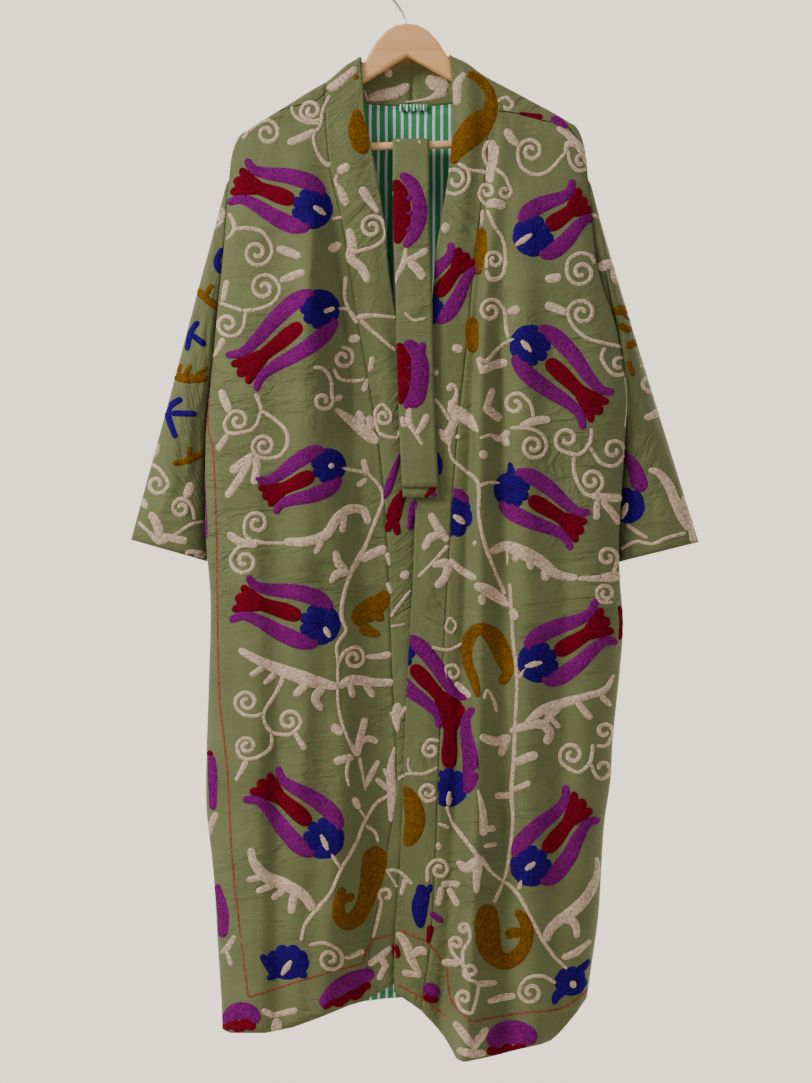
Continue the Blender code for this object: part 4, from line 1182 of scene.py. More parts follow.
# rows: yarn, then the points of a leaf's or vine's middle line. columns: x, y, half width in pixels
STROKES = {
    "body": [
        ("cream", (322, 124, 2), (305, 122, 2), (295, 115, 2), (292, 106, 2)),
        ("cream",
            (330, 95, 2), (322, 112, 2), (321, 125, 2), (314, 136, 2), (317, 150, 2), (324, 162, 2.2),
            (331, 166, 3),
        ),
        ("cream", (288, 143, 3.6), (302, 137, 3.8), (316, 130, 3)),
        ("cream", (328, 90, 4), (342, 80, 4), (357, 67, 3)),
        ("cream", (331, 219, 2), (342, 217, 2)),
        ("cream", (337, 172, 4), (350, 165, 4.2)),
        ("cream", (338, 174, 2.4), (336, 181, 1.8), (339, 188, 2.2)),
        ("cream", (338, 184, 2), (343, 196, 4.2), (347, 206, 3.4)),
        ("cream", (361, 187, 4.5), (368, 198, 4.2), (379, 213, 2.4)),
        ("cream", (329, 250, 4.4), (341, 244, 4)),
        ("cream", (349, 228, 3.6), (352, 246, 5), (351, 258, 4.6), (362, 268, 4.6), (369, 282, 3.6)),
        ("cream", (229, 213, 2.2), (235, 228, 2.6), (226, 240, 1.6)),
        ("cream", (277, 248, 3.4), (290, 252, 4.2), (301, 257, 3.2)),
        ("cream", (280, 281, 2.6), (292, 276, 3.8), (305, 271, 3)),
        ("cream", (227, 280, 3), (222, 302, 2.2)),
        ("cream", (220, 303, 2), (243, 311, 2)),
        ("cream", (224, 338, 3.8), (214, 357, 1)),
        ("cream", (337, 308, 2), (348, 310, 2), (357, 319, 2)),
        ("cream", (346, 276, 2.2), (344, 296, 2), (350, 312, 2), (358, 323, 2.4)),
        ("cream", (357, 318, 3.4), (372, 315, 2.4), (396, 318, 2)),
        ("cream", (360, 320, 2.6), (378, 336, 2), (396, 351, 2)),
        ("cream", (348, 340, 3.6), (360, 337, 4.4)),
        ("cream", (335, 408, 2.4), (350, 419, 4.6), (363, 430, 6), (373, 438, 5.2), (378, 443, 2.4)),
        ("cream", (358, 411, 3.4), (363, 424, 5)),
        ("cream", (369, 415, 3), (372, 430, 4.6)),
        ("cream", (378, 433, 2), (388, 436.5, 1.8), (398, 437, 1.8), (399, 430, 1.6)),
        ("cream", (333, 367, 2), (340, 378, 2), (354, 381, 2), (366, 379, 2)),
        ("cream", (373, 356, 3), (370, 372, 2.6)),
        ("cream", (368, 378, 1.6), (363, 392, 3.6)),
        ("cream", (217, 450, 3.6), (228, 434, 2.6)),
        ("cream", (254, 454, 3.6), (242, 463, 4.2), (230, 472, 4)),
        ("cream", (252, 458, 3), (240, 478, 3.8), (226, 497, 3.6)),
        ("cream", (256, 456, 3), (257, 470, 4), (254, 485, 4)),
        ("cream", (221, 389, 3), (225, 400, 4), (230, 412, 3.2)),
        ("cream", (255, 393, 2.2), (259, 402, 2.4), (262, 411, 2.2)),
        ("cream", (333, 399, 1.6), (338, 398, 3), (342, 395, 2.6)),
        ("magenta", (204, 478, 1), (204.5, 500, 2.4), (206, 528, 2.4), (206, 539, 1)),
        ("cream", (340, 467, 2), (360, 471, 2), (369, 472, 2)),
        ("cream", (363, 459, 3.2), (367, 475, 3)),
        ("cream", (367, 478, 2.4), (357, 486, 3)),
        ("cream",
            (368, 473, 2), (380, 486, 2), (383, 500, 2), (376, 520, 2.2), (366, 545, 2.2), (358, 560, 3),
            (350, 575, 2.4), (343, 600, 2.2), (342, 618, 2.4), (346, 630, 2), (337, 645, 2),
            (338, 665, 1.4), (338, 700, 1.4), (342, 722, 2), (350, 742, 2), (357, 755, 3),
        ),
        ("cream",
            (369, 524, 3.4), (363, 511, 4), (350, 509, 4.6), (337, 518, 4.4), (326, 534, 5),
            (306, 541, 4.6), (284, 541, 3.6),
        ),
        ("cream", (344, 514, 3.4), (342, 533, 3.2)),
        ("cream", (330, 524, 3), (330, 537, 1.6)),
        ("cream", (322, 540, 3.4), (315, 554, 2.8)),
        ("cream", (285, 543, 2), (268, 543, 2), (252, 541, 3)),
        ("cream", (228, 533, 3), (240, 541, 4), (258, 545, 3)),
        ("cream", (336, 550, 3.2), (339, 563, 4), (348, 572, 3)),
        ("cream", (350, 572, 3), (337, 574, 4.2), (330, 583, 2.4)),
        ("cream", (360, 560, 3.4), (372, 554, 4.6), (387, 548, 4.6)),
        ("cream", (387, 552, 3), (390, 566, 1.4)),
        ("cream", (387, 582, 2), (392, 593, 2.6)),
        ("cream", (391, 617, 2), (402, 601, 2), (411, 590, 2)),
        ("cream", (400, 577, 4.6), (410, 573, 4.2)),
        ("cream", (366, 656, 2), (378, 656, 3), (392, 654, 3.6)),
        ("cream", (391, 626, 1.4), (405, 624, 1.4)),
        ("cream", (239, 649, 3), (262, 662, 4.6), (285, 671, 6), (310, 680, 6.4), (338, 687, 3)),
        ("cream", (266, 666, 3), (250, 676, 3)),
        ("cream", (277, 672, 3.4), (264, 684, 2.8)),
        ("cream", (284, 676, 2.8), (276, 693, 2.4), (265, 711, 2), (265, 722, 2), (272, 732, 2)),
        ("cream", (308, 682, 4), (294, 696, 3.4)),
        ("cream", (324, 686, 4.4), (315, 698, 4), (322, 710, 3.2)),
        ("cream", (338, 687, 3), (352, 680, 5), (375, 682, 4), (394, 682, 3.4)),
        ("cream", (350, 683, 3), (353, 697, 3.2)),
        ("cream", (365, 684, 3), (374, 697, 3.4)),
        ("cream", (295, 733, 2.6), (306, 750, 3.2)),
        ("cream", (247, 760, 3.2), (236, 781, 2)),
        ("cream", (332, 725, 4.4), (343, 734, 4)),
        ("cream", (366, 718, 3.4), (360, 738, 3.6), (356, 756, 4)),
        ("cream", (360, 744, 2.6), (368, 738, 3.2), (378, 742, 3.2)),
        ("cream", (333, 762, 4), (354, 756, 3.6)),
        ("cream", (349, 758, 2.2), (347, 772, 2), (349, 786, 1.4)),
        ("cream", (359, 757, 2.4), (366, 790, 1.2)),
        ("cream", (379, 760, 2.6), (370, 776, 3.2), (365, 788, 1.4)),
        ("cream", (395, 746, 1), (391, 768, 3.8), (392, 790, 4.4), (391, 822, 2.4)),
        ("cream", (376, 778, 2.6), (390, 790, 3.6)),
        ("cream", (384, 768, 2), (391, 782, 3)),
        ("cream",
            (390, 795, 2), (377, 803, 2), (368, 815, 2), (362, 828, 2), (358, 840, 2), (350, 855, 2),
            (341, 869, 2), (330, 893, 2), (317, 909, 2.4), (305, 925, 2), (301, 941, 2),
        ),
        ("cream", (354, 797, 4.4), (359, 809, 2.6)),
        ("cream", (359, 809, 1.4), (366, 818, 1.4)),
        ("cream", (366, 825, 2), (375, 832, 2), (378, 842, 2)),
        ("cream", (331, 853, 2), (341, 869, 2)),
        ("cream",
            (314, 911, 4.4), (304, 896, 5), (285, 885, 6), (266, 876, 5.4), (254, 862, 4), (251, 848, 3.4),
        ),
        ("cream", (266, 876, 3), (247, 880, 3.2)),
        ("cream", (275, 884, 3.4), (256, 892, 3)),
        ("cream", (286, 888, 3.4), (272, 899, 3)),
        ("cream", (294, 893, 4), (291, 914, 3.8)),
        ("cream", (388, 870, 2), (400, 872, 2), (413, 885, 2)),
        ("cream", (406, 878, 3.6), (401, 896, 2)),
        ("cream", (386, 869, 1.4), (398, 888, 1.4)),
        ("cream", (344, 956, 2), (350, 957, 2.4), (364, 950, 3)),
        ("cream", (368, 965, 3), (382, 955, 3.6), (392, 947, 2.4)),
        ("cream", (380, 956, 3.4), (388, 968, 3.6)),
        ("cream", (378, 980, 3), (386, 964, 3)),
        ("cream", (262, 1010, 3.6), (275, 1016, 3)),
        ("cream", (272, 1016, 2.6), (286, 1012, 3), (298, 1010, 3)),
        ("cream", (278, 1018, 4), (275, 1033, 5.6)),
        ("cream", (217, 812, 3), (211, 824, 3), (210, 836, 1.4)),
        ("cream", (235, 935, 2), (228, 947, 3), (221, 953, 1.4)),
        ("cream", (226, 951, 2), (232, 966, 2.6)),
        ("cream", (399, 703, 4), (396, 716, 4.4), (398, 732, 2)),
        ("cream", (390, 712, 2.6), (398, 718, 3)),
        ("cream", (406, 706, 2.4), (400, 718, 3)),
        ("cream", (398, 779, 2), (408, 774, 2), (424, 774, 2), (438, 767, 2)),
        ("cream", (409, 757, 1.4), (408, 766, 1.4), (411, 773, 1.4)),
        ("cream", (397, 932, 3), (406, 944, 4.4), (412, 960, 4), (421, 975, 2.4)),
        ("cream", (411, 956, 3.6), (420, 950, 4), (427, 954, 3)),
        ("cream", (402, 972, 3.4), (422, 975, 3)),
        ("cream", (466, 73, 2.6), (458, 84, 4), (456, 105, 4)),
        ("cream", (506, 129, 4), (512, 139, 4.2), (519, 145, 2.4)),
        ("cream", (557, 127, 2.6), (571, 137, 3.6), (583, 152, 3.4), (590, 172, 2)),
        ("cream", (566, 154, 1.6), (568, 144, 3), (577, 146, 2)),
        ("cream", (492, 140, 4), (493, 158, 4.4), (490, 172, 4), (490, 183, 3)),
        ("cream", (458, 163, 2.4), (470, 170, 2), (487, 172, 2.4)),
        ("cream", (486, 207, 3), (494, 203, 4.4), (506, 207, 4.4)),
        ("cream", (483, 210, 2.6), (482, 226, 2)),
        ("cream",
            (487, 210, 2), (495, 226, 2.2), (503, 238, 2), (506, 256, 2.2), (503, 275, 2.4),
            (491, 279, 2.6), (486, 270, 2),
        ),
        ("cream", (441, 227, 5.6), (450, 228, 5.4)),
        ("cream", (545, 279, 4), (562, 277, 4)),
        ("cream", (545, 304, 4), (556, 308, 4.2), (567, 313, 3.4)),
        ("cream", (626, 375, 2.4), (629, 400, 2.4), (626, 428, 2.2)),
        ("cream", (507, 312, 3.4), (520, 308, 4.4)),
        ("cream", (521, 337, 2), (508, 341, 2), (496, 350, 2), (486, 361, 2.4), (478, 357, 2.4)),
        ("cream", (480, 373, 3), (492, 366, 4), (507, 362, 4)),
        ("cream", (477, 358, 2), (483, 372, 3.4)),
        ("cream", (452, 347, 4), (463, 350, 4)),
        ("cream", (434, 370, 3.4), (437, 375, 3.4)),
        ("cream", (448, 391, 4), (452, 384.5, 2.8), (457, 390, 2), (454.5, 401, 3.4), (448, 406, 5.4)),
        ("cream", (433, 398, 1.4), (438, 403, 2), (445, 412, 2.4), (452, 422, 2.6)),
        ("cream", (448, 406, 4.4), (459, 413.5, 6.6), (468, 419, 5.6), (475, 428, 3.2), (478, 433, 1.2)),
        ("cream", (457, 415, 5.4), (452, 426, 4), (448.5, 436, 5.2), (449.5, 445, 2.4)),
        ("cream", (455, 437, 2.2), (461, 436, 2.6)),
        ("cream", (439.5, 429, 2.8), (444, 437, 3.8), (450, 441, 3.2)),
        ("cream", (493, 388, 3.4), (486, 408, 3.4)),
        ("cream", (484, 406, 4), (502, 420, 4)),
        ("cream", (520, 427, 3), (534, 421, 4), (551, 419, 3.4)),
        ("cream", (480, 438, 2), (490, 435, 2), (500, 438, 3.6), (509, 430, 3)),
        ("cream", (503, 436, 4.4), (508, 446, 3)),
        ("cream", (479, 455, 5), (488, 454, 5)),
        ("cream", (592, 496, 4), (606, 497, 4.2), (622, 498, 4.2)),
        ("cream", (597, 500, 3.4), (596, 520, 3)),
        ("cream", (602, 500, 3), (612, 512, 3.6), (620, 524, 3.4)),
        ("cream",
            (449, 440, 2), (452, 458, 2), (465, 470, 2), (478, 484, 2.2), (479, 515, 2), (485, 545, 2.4),
            (495, 570, 2), (505, 594, 2.4),
        ),
        ("cream", (479, 486, 2), (490, 482, 2), (504, 484, 2)),
        ("cream", (473, 543, 4), (477, 544, 4)),
        ("cream",
            (490, 552, 3.4), (506, 546, 5), (522, 552, 6.4), (541, 562, 6), (556, 574, 4.6), (578, 578, 3),
        ),
        ("cream", (514, 555, 3.4), (517, 562, 3.4)),
        ("cream", (529, 560, 3.6), (532, 570, 3.4)),
        ("cream", (545, 568, 4), (546, 581, 4.4)),
        ("cream", (507, 550, 1.6), (507, 566, 1)),
        ("cream", (578, 578, 2.6), (596, 578, 3), (610, 577, 5), (621, 575, 5)),
        ("cream", (474, 585, 3), (488, 590, 5.6), (500, 599, 5), (509, 607, 2.4)),
        ("cream", (481, 594, 4), (482, 605, 3.4)),
        ("cream", (450, 559, 2), (460, 569, 3.6), (476, 579, 3)),
        ("cream", (432, 565, 3), (447, 563, 4.4), (446, 576, 4), (436, 587, 4)),
        ("cream", (418, 577, 2), (434, 561, 2), (448, 545, 2.4)),
        ("cream", (430, 513, 3.4), (437, 526, 4), (448, 541, 3)),
        ("cream", (424, 550, 3.4), (431, 537, 4), (446, 534, 3)),
        ("cream",
            (510, 583, 2), (511, 610, 2), (513, 640, 2), (516, 665, 2), (517, 690, 2), (515, 722, 2),
            (514, 760, 2.2), (511, 790, 2.4), (513, 820, 2), (510, 850, 2), (505, 876, 2), (494, 903, 2),
        ),
        ("cream", (512, 608, 4), (515, 620, 4.4)),
        ("cream", (526, 667, 2), (518, 678, 2.4)),
        ("cream", (450, 617, 1.4), (446, 628, 1.4), (452, 633, 1.4), (456, 624, 1.4), (450, 617, 1.4)),
        ("cream", (432, 647, 2), (448, 650, 2), (463, 643, 2)),
        ("cream", (455, 682, 3), (470, 697, 3.4)),
        ("cream", (484, 699, 2), (488, 690, 2), (494, 700, 2), (497, 712, 2)),
        ("cream",
            (523, 728, 3), (541, 711, 4.6), (563, 703, 4.4), (588, 696, 3.6), (605, 689, 3),
            (614, 674, 1.6),
        ),
        ("cream", (560, 706, 3.4), (543, 724, 3)),
        ("cream", (577, 701, 3.4), (592, 719, 3.4)),
        ("cream", (600, 695, 3), (611, 706, 2.6)),
        ("cream", (545, 712, 3), (560, 728, 2.6)),
        ("cream", (510, 732, 3), (524, 726, 4), (541, 724, 4.4), (550, 733, 4.4), (545, 744, 4)),
        ("cream", (480, 736, 3.4), (496, 741, 4.4), (508, 736, 3.4)),
        ("cream", (508, 734, 4), (500, 756, 3.6)),
        ("cream", (514, 763, 3.4), (526, 758, 4.4), (538, 754, 4)),
        ("cream", (512, 790, 2.6), (531, 782, 3.4)),
        ("cream", (495, 796, 3.4), (513, 795, 3.4)),
        ("cream", (523, 876, 2), (518, 890, 2.2)),
        ("cream",
            (502, 880, 2), (516, 892, 2.2), (530, 915, 2), (543, 940, 2.2), (555, 956, 2), (567, 969, 2),
        ),
        ("cream",
            (545, 941, 4), (552, 926, 4.4), (574, 910, 5.4), (590, 892, 5), (597, 872, 3), (596, 857, 2),
        ),
        ("cream", (561, 919, 3.6), (573, 921, 4), (577, 930, 3.4), (576, 938, 3)),
        ("cream", (562, 958, 3), (576, 952, 3.4), (591, 940, 2.4)),
        ("cream", (488, 1002, 2.6), (502, 997, 3.6), (516, 996, 3)),
        ("cream", (441, 962, 3.6), (459, 963, 3.4)),
        ("cream", (478, 984, 3.4), (497, 982, 2.6)),
        ("cream", (441, 884, 3.6), (460, 884, 3)),
        ("cream", (442, 886, 3.6), (438, 906, 3.6)),
        ("cream", (448, 888, 3), (458, 906, 3)),
        ("cream", (439, 842, 3), (439, 850, 3.4)),
        ("cream",
            (447, 806, 2), (452, 821, 2), (458, 830, 2.4), (475, 852, 2.4), (484, 862, 2.6), (492, 872, 2),
            (502, 880, 2),
        ),
        ("cream", (478, 789, 1), (483, 812, 3.6), (484, 836, 4)),
        ("cream", (484, 829, 3), (496, 828, 3)),
        ("cream", (484, 846, 2.6), (497, 844, 2.4)),
        ("cream", (457, 861, 2.6), (466, 867, 5), (476, 863, 6.2), (484, 857, 5)),
        ("cream", (479, 862, 5), (477, 878, 3.8), (477, 893, 2.8)),
        ("cream", (438, 823, 2), (450, 828, 2)),
        ("cream", (454, 1022, 3), (465, 1035, 4), (472, 1046, 3.4)),
        ("cream", (488, 1027, 3), (480, 1038, 4), (472, 1049, 3.4)),
        ("cream", (457, 1049, 3), (470, 1053, 4), (486, 1052, 3)),
        ("magenta", (400, 453, 1.6), (394, 471, 4), (388, 489, 4.6), (383, 499, 2)),
        ("magenta", (414.5, 500, 4.2), (411.6, 515, 3.8), (410, 530, 3)),
        ("red", (406, 489, 3), (398, 503, 7), (393, 517, 8.4), (391, 524, 7)),
        ("red", (391, 520, 5), (387, 532, 3.6)),
        ("red", (395, 520, 5), (398, 535, 4)),
        ("blue", (437, 452, 1.6), (439.5, 462, 3), (440, 470, 3), (439, 475, 1.6)),
        ("mustard", (357, 109, 3), (357, 119, 7.5), (358, 130, 10.4), (361, 144, 9.4), (366, 153, 6)),
        ("mustard", (358, 74, 2.8), (355, 79, 3.4)),
        ("mustard", (387, 591, 5), (381, 600, 9.6), (372, 608, 12), (362, 616, 11.6), (360, 626, 9)),
        ("mustard", (372, 612, 8), (384, 619, 4)),
        ("mustard", (360, 626, 9), (370, 632, 5.4), (380, 634, 3.8)),
        ("mustard",
            (374, 846, 8), (375, 856, 13), (373, 872, 13), (369, 890, 10.6), (364, 905, 9), (356, 918, 9),
            (346, 922, 9), (339, 914, 7.6), (340, 900, 6.4), (343, 887, 4),
        ),
        ("mustard", (342, 900, 5), (350, 897, 4.6), (354, 894, 4)),
        ("mustard",
            (467, 73, 3), (480, 80, 5), (490, 94, 6), (489, 112, 9), (477, 127, 15), (461, 145, 11),
            (452, 163, 3),
        ),
        ("mustard", (481, 228, 5), (481, 250, 6.4), (477, 274, 5)),
        ("mustard", (472, 317, 6.4), (472, 335, 7.4), (473, 352, 6)),
        ("blue", (510, 462, 2), (511, 472, 4.6), (512, 482, 6)),
        ("mustard",
            (478, 697, 2.6), (474, 680, 5), (467, 660, 6), (468, 641, 7), (480, 629, 7), (495, 638, 10),
            (503, 655, 10), (507, 672, 6.4), (500, 684, 5),
        ),
        ("mustard", (405, 786, 3), (411, 800, 9), (415, 818, 11), (412, 834, 9.4), (405, 845, 4.4)),
        ("mustard",
            (494, 906, 7), (488, 916, 13), (487, 932, 14), (490, 948, 13), (498, 959, 10), (509, 961, 8.6),
            (520, 953, 8), (526, 941, 7), (527, 928, 7), (522, 917, 5.6), (515, 911, 4),
        ),
        ("mustard", (523, 933, 5), (512, 933, 6), (507, 938, 4)),
        ("magenta", (211, 755, 4), (213, 778, 5.6), (213, 810, 4)),
        ("magenta", (217, 884, 3), (223, 912, 6.4), (222, 937, 5)),
        ("red", (209, 750, 3), (211, 757, 4)),
        ("magenta", (321, 1006, 5), (334, 992, 9), (352, 981, 10), (374, 972, 6)),
        ("red",
            (323, 1008, 4), (332, 1001, 5), (340, 1002, 5.4), (349, 995, 5), (356, 995, 5.6),
            (364, 987, 4.6), (371, 985, 4.4),
        ),
        ("magenta", (225, 1024, 7), (233, 1013, 9), (243, 1011, 9.6), (252, 1014, 8.4), (257, 1023, 5.4)),
        ("red", (223, 1029, 5), (232, 1023, 6.4), (239, 1027, 6), (247, 1023, 6.6), (255, 1029, 5)),
        ("magenta", (491, 1047, 8), (499, 1035, 11), (512, 1032, 13), (526, 1035, 11.4), (536, 1042, 7)),
        ("red",
            (488, 1054, 4.6), (494, 1049, 5), (500, 1054, 5.6), (507, 1048, 5), (513, 1052, 5.6),
            (520, 1046, 4.4), (526, 1049, 4),
        ),
        ("magenta", (424, 984, 3), (430, 989, 8), (440, 994, 6)),
        ("red", (423, 996, 4), (432, 999, 4.6), (439, 999, 3)),
        ("blue", (418, 885, 3.6), (422, 893, 8), (420, 906, 9), (420, 918, 7), (421, 928, 3)),
        ("blue", (431, 884, 3), (428, 893, 4)),
        ("blue", (412, 904, 3), (418, 906, 4)),
        ("blue", (261, 955, 3), (269, 963, 6), (274, 973, 6), (267, 979, 2.4)),
        ("blue", (299, 973, 6), (307, 976, 3.4)),
        ("blue", (577, 973, 5), (586, 964, 3.4), (589, 959, 1.4)),
        ("blue", (566, 988, 6), (557, 996, 5), (554, 1004, 2.4)),
        ("magenta", (430, 912, 3.4), (443, 922, 3.6)),
        ("red", (431, 925, 4.6), (428, 943, 2)),
        ("red", (394, 944, 4), (398, 958, 5)),
        ("red", (519, 113, 1.6), (532, 115, 2.6), (543, 117, 3.6)),
        ("magenta", (551, 118, 3), (558, 121, 4.6), (567, 127, 2.4)),
        ("red", (619, 605, 2), (622, 622, 3.4), (620, 640, 2)),
        ("cream", (368, 99, 2.6), (379, 96, 5.2), (395, 92.5, 5.4), (404, 87.5, 4.6), (409, 84, 3.6)),
        ("cream", (391, 70, 3.6), (386, 77, 4.6)),
        ("cream", (428, 76, 4), (433, 82, 6.4), (441, 85, 7), (449, 86, 5.4)),
        ("cream", (447, 88, 5.4), (440, 93.5, 4.4), (431, 98, 2.6), (420, 100.6, 1.6), (406, 102, 1)),
        ("cream", (363, 90, 1.4), (368, 101, 1.4)),
    ],
    "sleeve_left": [
        ("magenta", (221, 184, 3), (227, 180, 3.4)),
        ("blue", (222, 248, 2.4), (217, 261, 4), (221, 273, 3.4)),
        ("mustard", (195, 288, 3.4), (206, 298, 4.4), (218, 308, 4)),
        ("mustard", (205, 295, 3), (213, 284, 3)),
        ("blue", (199, 321, 3), (191, 333, 3.4), (187, 351, 3)),
        ("blue", (192, 334, 3), (206, 345, 3.8)),
        ("mustard", (173, 376, 3.4), (188, 378, 5.4), (208, 378, 3.6)),
        ("mustard", (178, 373, 3), (181, 363, 2.4)),
        ("mustard", (185, 375, 3), (191, 364, 2.6)),
        ("mustard", (196, 375, 3), (207, 367, 2.8)),
        ("blue", (182, 398, 3.4), (168, 411, 3.8), (176, 438, 3.2)),
        ("blue", (171, 413, 3.4), (197, 414, 3.6)),
        ("mustard", (173, 463, 2.4), (188, 460, 3.8), (204, 452, 3.8)),
        ("mustard", (190, 458, 3), (189, 446, 2.6)),
        ("cream", (192, 482, 4.6), (186, 498, 4)),
        ("cream",
            (138, 522, 2), (150, 533, 2.4), (160, 541, 3), (176, 534, 2), (190, 525, 2), (204, 521, 1.6),
        ),
        ("cream", (150, 512, 3.6), (157, 524, 4.4), (160, 538, 4)),
        ("cream", (162, 536, 3.4), (188, 541, 3.8)),
        ("cream", (185, 553, 4), (206, 555, 4)),
        ("cream", (141, 498, 3), (147, 508, 3.6)),
    ],
    "sleeve_right": [
        ("cream", (590, 178, 1.6), (600, 200, 2), (612, 226, 1.6)),
        ("cream", (592, 214, 1.8), (608, 222, 1.8)),
        ("cream", (597, 269, 4), (607, 264, 5), (619, 263, 3)),
        ("cream", (614, 265, 3.8), (616, 284, 3.8)),
        ("mustard", (612, 312, 4), (624, 310, 6), (634, 320, 5)),
        ("mustard", (618, 324, 4), (632, 331, 4.4)),
        ("mustard", (626, 347, 4), (638, 341, 4.4)),
        ("mustard", (628, 360, 3), (633, 376, 3.4)),
        ("cream", (644, 418, 3.4), (652, 415, 3.6), (661, 410, 4.4)),
        ("magenta", (624, 451, 2), (633, 466, 7), (640, 484, 9), (640, 492, 7)),
        ("cream",
            (648, 470, 2.4), (658, 472, 3.6), (668, 484, 4.4), (675, 500, 5), (683, 516, 5.4),
            (690, 530, 3.6),
        ),
        ("cream", (683, 496, 3.4), (688, 512, 3.4), (692, 532, 3), (694, 542, 4)),
        ("cream", (620, 549, 1.8), (636, 541, 2), (652, 544, 2), (668, 537, 2), (686, 533, 1.8)),
        ("cream", (626, 524, 1.8), (636, 531, 2.2), (648, 538, 1.8)),
    ],
    "front_right": [
        ("magenta", (450, 492, 5), (460, 495, 6), (468, 503, 4)),
    ],
    "belt": [
        ("red", (394, 180, 4), (400, 192, 8), (402, 208, 10), (401, 226, 9), (396, 244, 4)),
        ("magenta",
            (400, 174, 4), (412, 184, 7), (418, 200, 8), (419, 216, 8.6), (414, 234, 7), (404, 247, 4),
        ),
        ("magenta", (413, 197, 4), (405, 199, 3)),
        ("magenta", (413, 212, 4), (405, 214, 3)),
        ("magenta", (412, 228, 4), (404, 230, 3)),
        ("red", (398, 343, 5), (402, 353, 8), (404, 366, 9.6), (403, 382, 9), (400, 402, 6)),
        ("magenta",
            (424, 342, 3), (420, 352, 6), (417, 366, 8), (419, 382, 9), (418, 398, 7), (411, 407, 4),
        ),
        ("magenta", (413, 366, 4), (406, 369, 3)),
        ("magenta", (413, 382, 4), (407, 385, 3)),
        ("cream", (406, 248, 1.8), (404, 262, 3), (398, 274, 2.6), (395, 285, 2)),
        ("cream", (404, 262, 3), (416, 256, 3), (428, 249, 3.4)),
        ("cream", (408, 262, 3.4), (417, 268, 4.4), (424, 279, 4)),
        ("magenta", (405, 341, 6), (417, 354, 9), (421, 374, 9.4), (416, 394, 9), (405, 408, 4)),
        ("red", (399, 343, 4.6), (402, 358, 6), (405, 374, 8.4), (402, 390, 6), (400, 404, 4)),
        ("cream", (410, 407, 2.6), (409, 421, 3.4), (415, 433, 2.4), (423, 445, 1.8)),
        ("cream", (402, 416, 2.4), (404, 425, 3), (409, 423, 2.4)),
        ("cream", (428, 414, 3.6), (423, 424, 3.4), (417, 434, 2.4)),
        ("red", (425, 497, 1.4), (431, 491, 3.6), (436, 488, 3)),
        ("magenta", (431, 494, 3.2), (437, 495, 3.2)),
        ("cream", (404, 312, 1.6), (414, 320, 1.6), (426, 318, 1.6)),
        ("cream", (396, 140, 1.4), (400, 141, 1.6)),
        ("cream", (418, 140, 1.2), (421, 144, 1.6)),
    ],
}

# columns: yarn, x, y, radius in pixels, heading, half of its span, lobes, height over width
ROSETTES = {
    "body": [
        ("blue", 288, 962, 23, 250, 180, 9, 0.82),
        ("blue", 571, 981, 17, 300, 180, 8, 0.9),
    ],
    "front_right": [
        ("blue", 452, 516, 21, 60, 180, 7, 1.1),
    ],
    "sleeve_right": [
        ("blue", 629, 505, 17, 250, 180, 5, 1.1),
    ],
}

# columns: x, y, heading, length in pixels
SEEDS = {
    "body": [
        (319, 211, 215, 13), (329, 310, 160, 11), (331, 466, 150, 7), (327, 632, 60, 11),
        (325, 842, 65, 16), (524, 240, 325, 17), (526, 346, 50, 14), (533, 664, 345, 16),
        (530, 866, 320, 12), (287, 967, 305, 16), (573, 984, 80, 8),
    ],
    "front_right": [(449, 798, 95, 13), (459, 519, 35, 13)],
    "sleeve_right": [(625, 511, 110, 15)],
}

# rows: points of the thin rust line inside the hem's border. columns: x, y
BORDER = {
    "body": [
        [
            (210, 383), (208, 427), (213, 448), (215, 492), (217, 546), (218, 665), (221, 711), (227, 767),
            (232, 852), (237, 908), (244, 965), (248, 997),
        ],
        [(248, 997), (290, 984), (330, 972), (363, 963)],
        [(363, 963), (371, 942), (393, 934)],
        [(398, 930), (428, 943), (444, 966)],
        [(397, 985), (421, 997), (446, 1016)],
        [(447, 966), (450, 995), (457, 1008), (472, 1022)],
        [(472, 1022), (520, 1013), (560, 1008), (585, 992), (598, 972)],
    ],
}

# rows: points of the painted shadow lines along the shoulder seams, dark strips of the cloth's own green
# which lie a little in front of the ridge. columns: x, y
SEAM_SHADOW_LINES = {
    "body": [
        [(270, 114), (292, 107), (316, 100), (330, 86)],
        [(498, 111), (516, 113), (542, 120), (567, 126), (584, 150)],
    ],
}


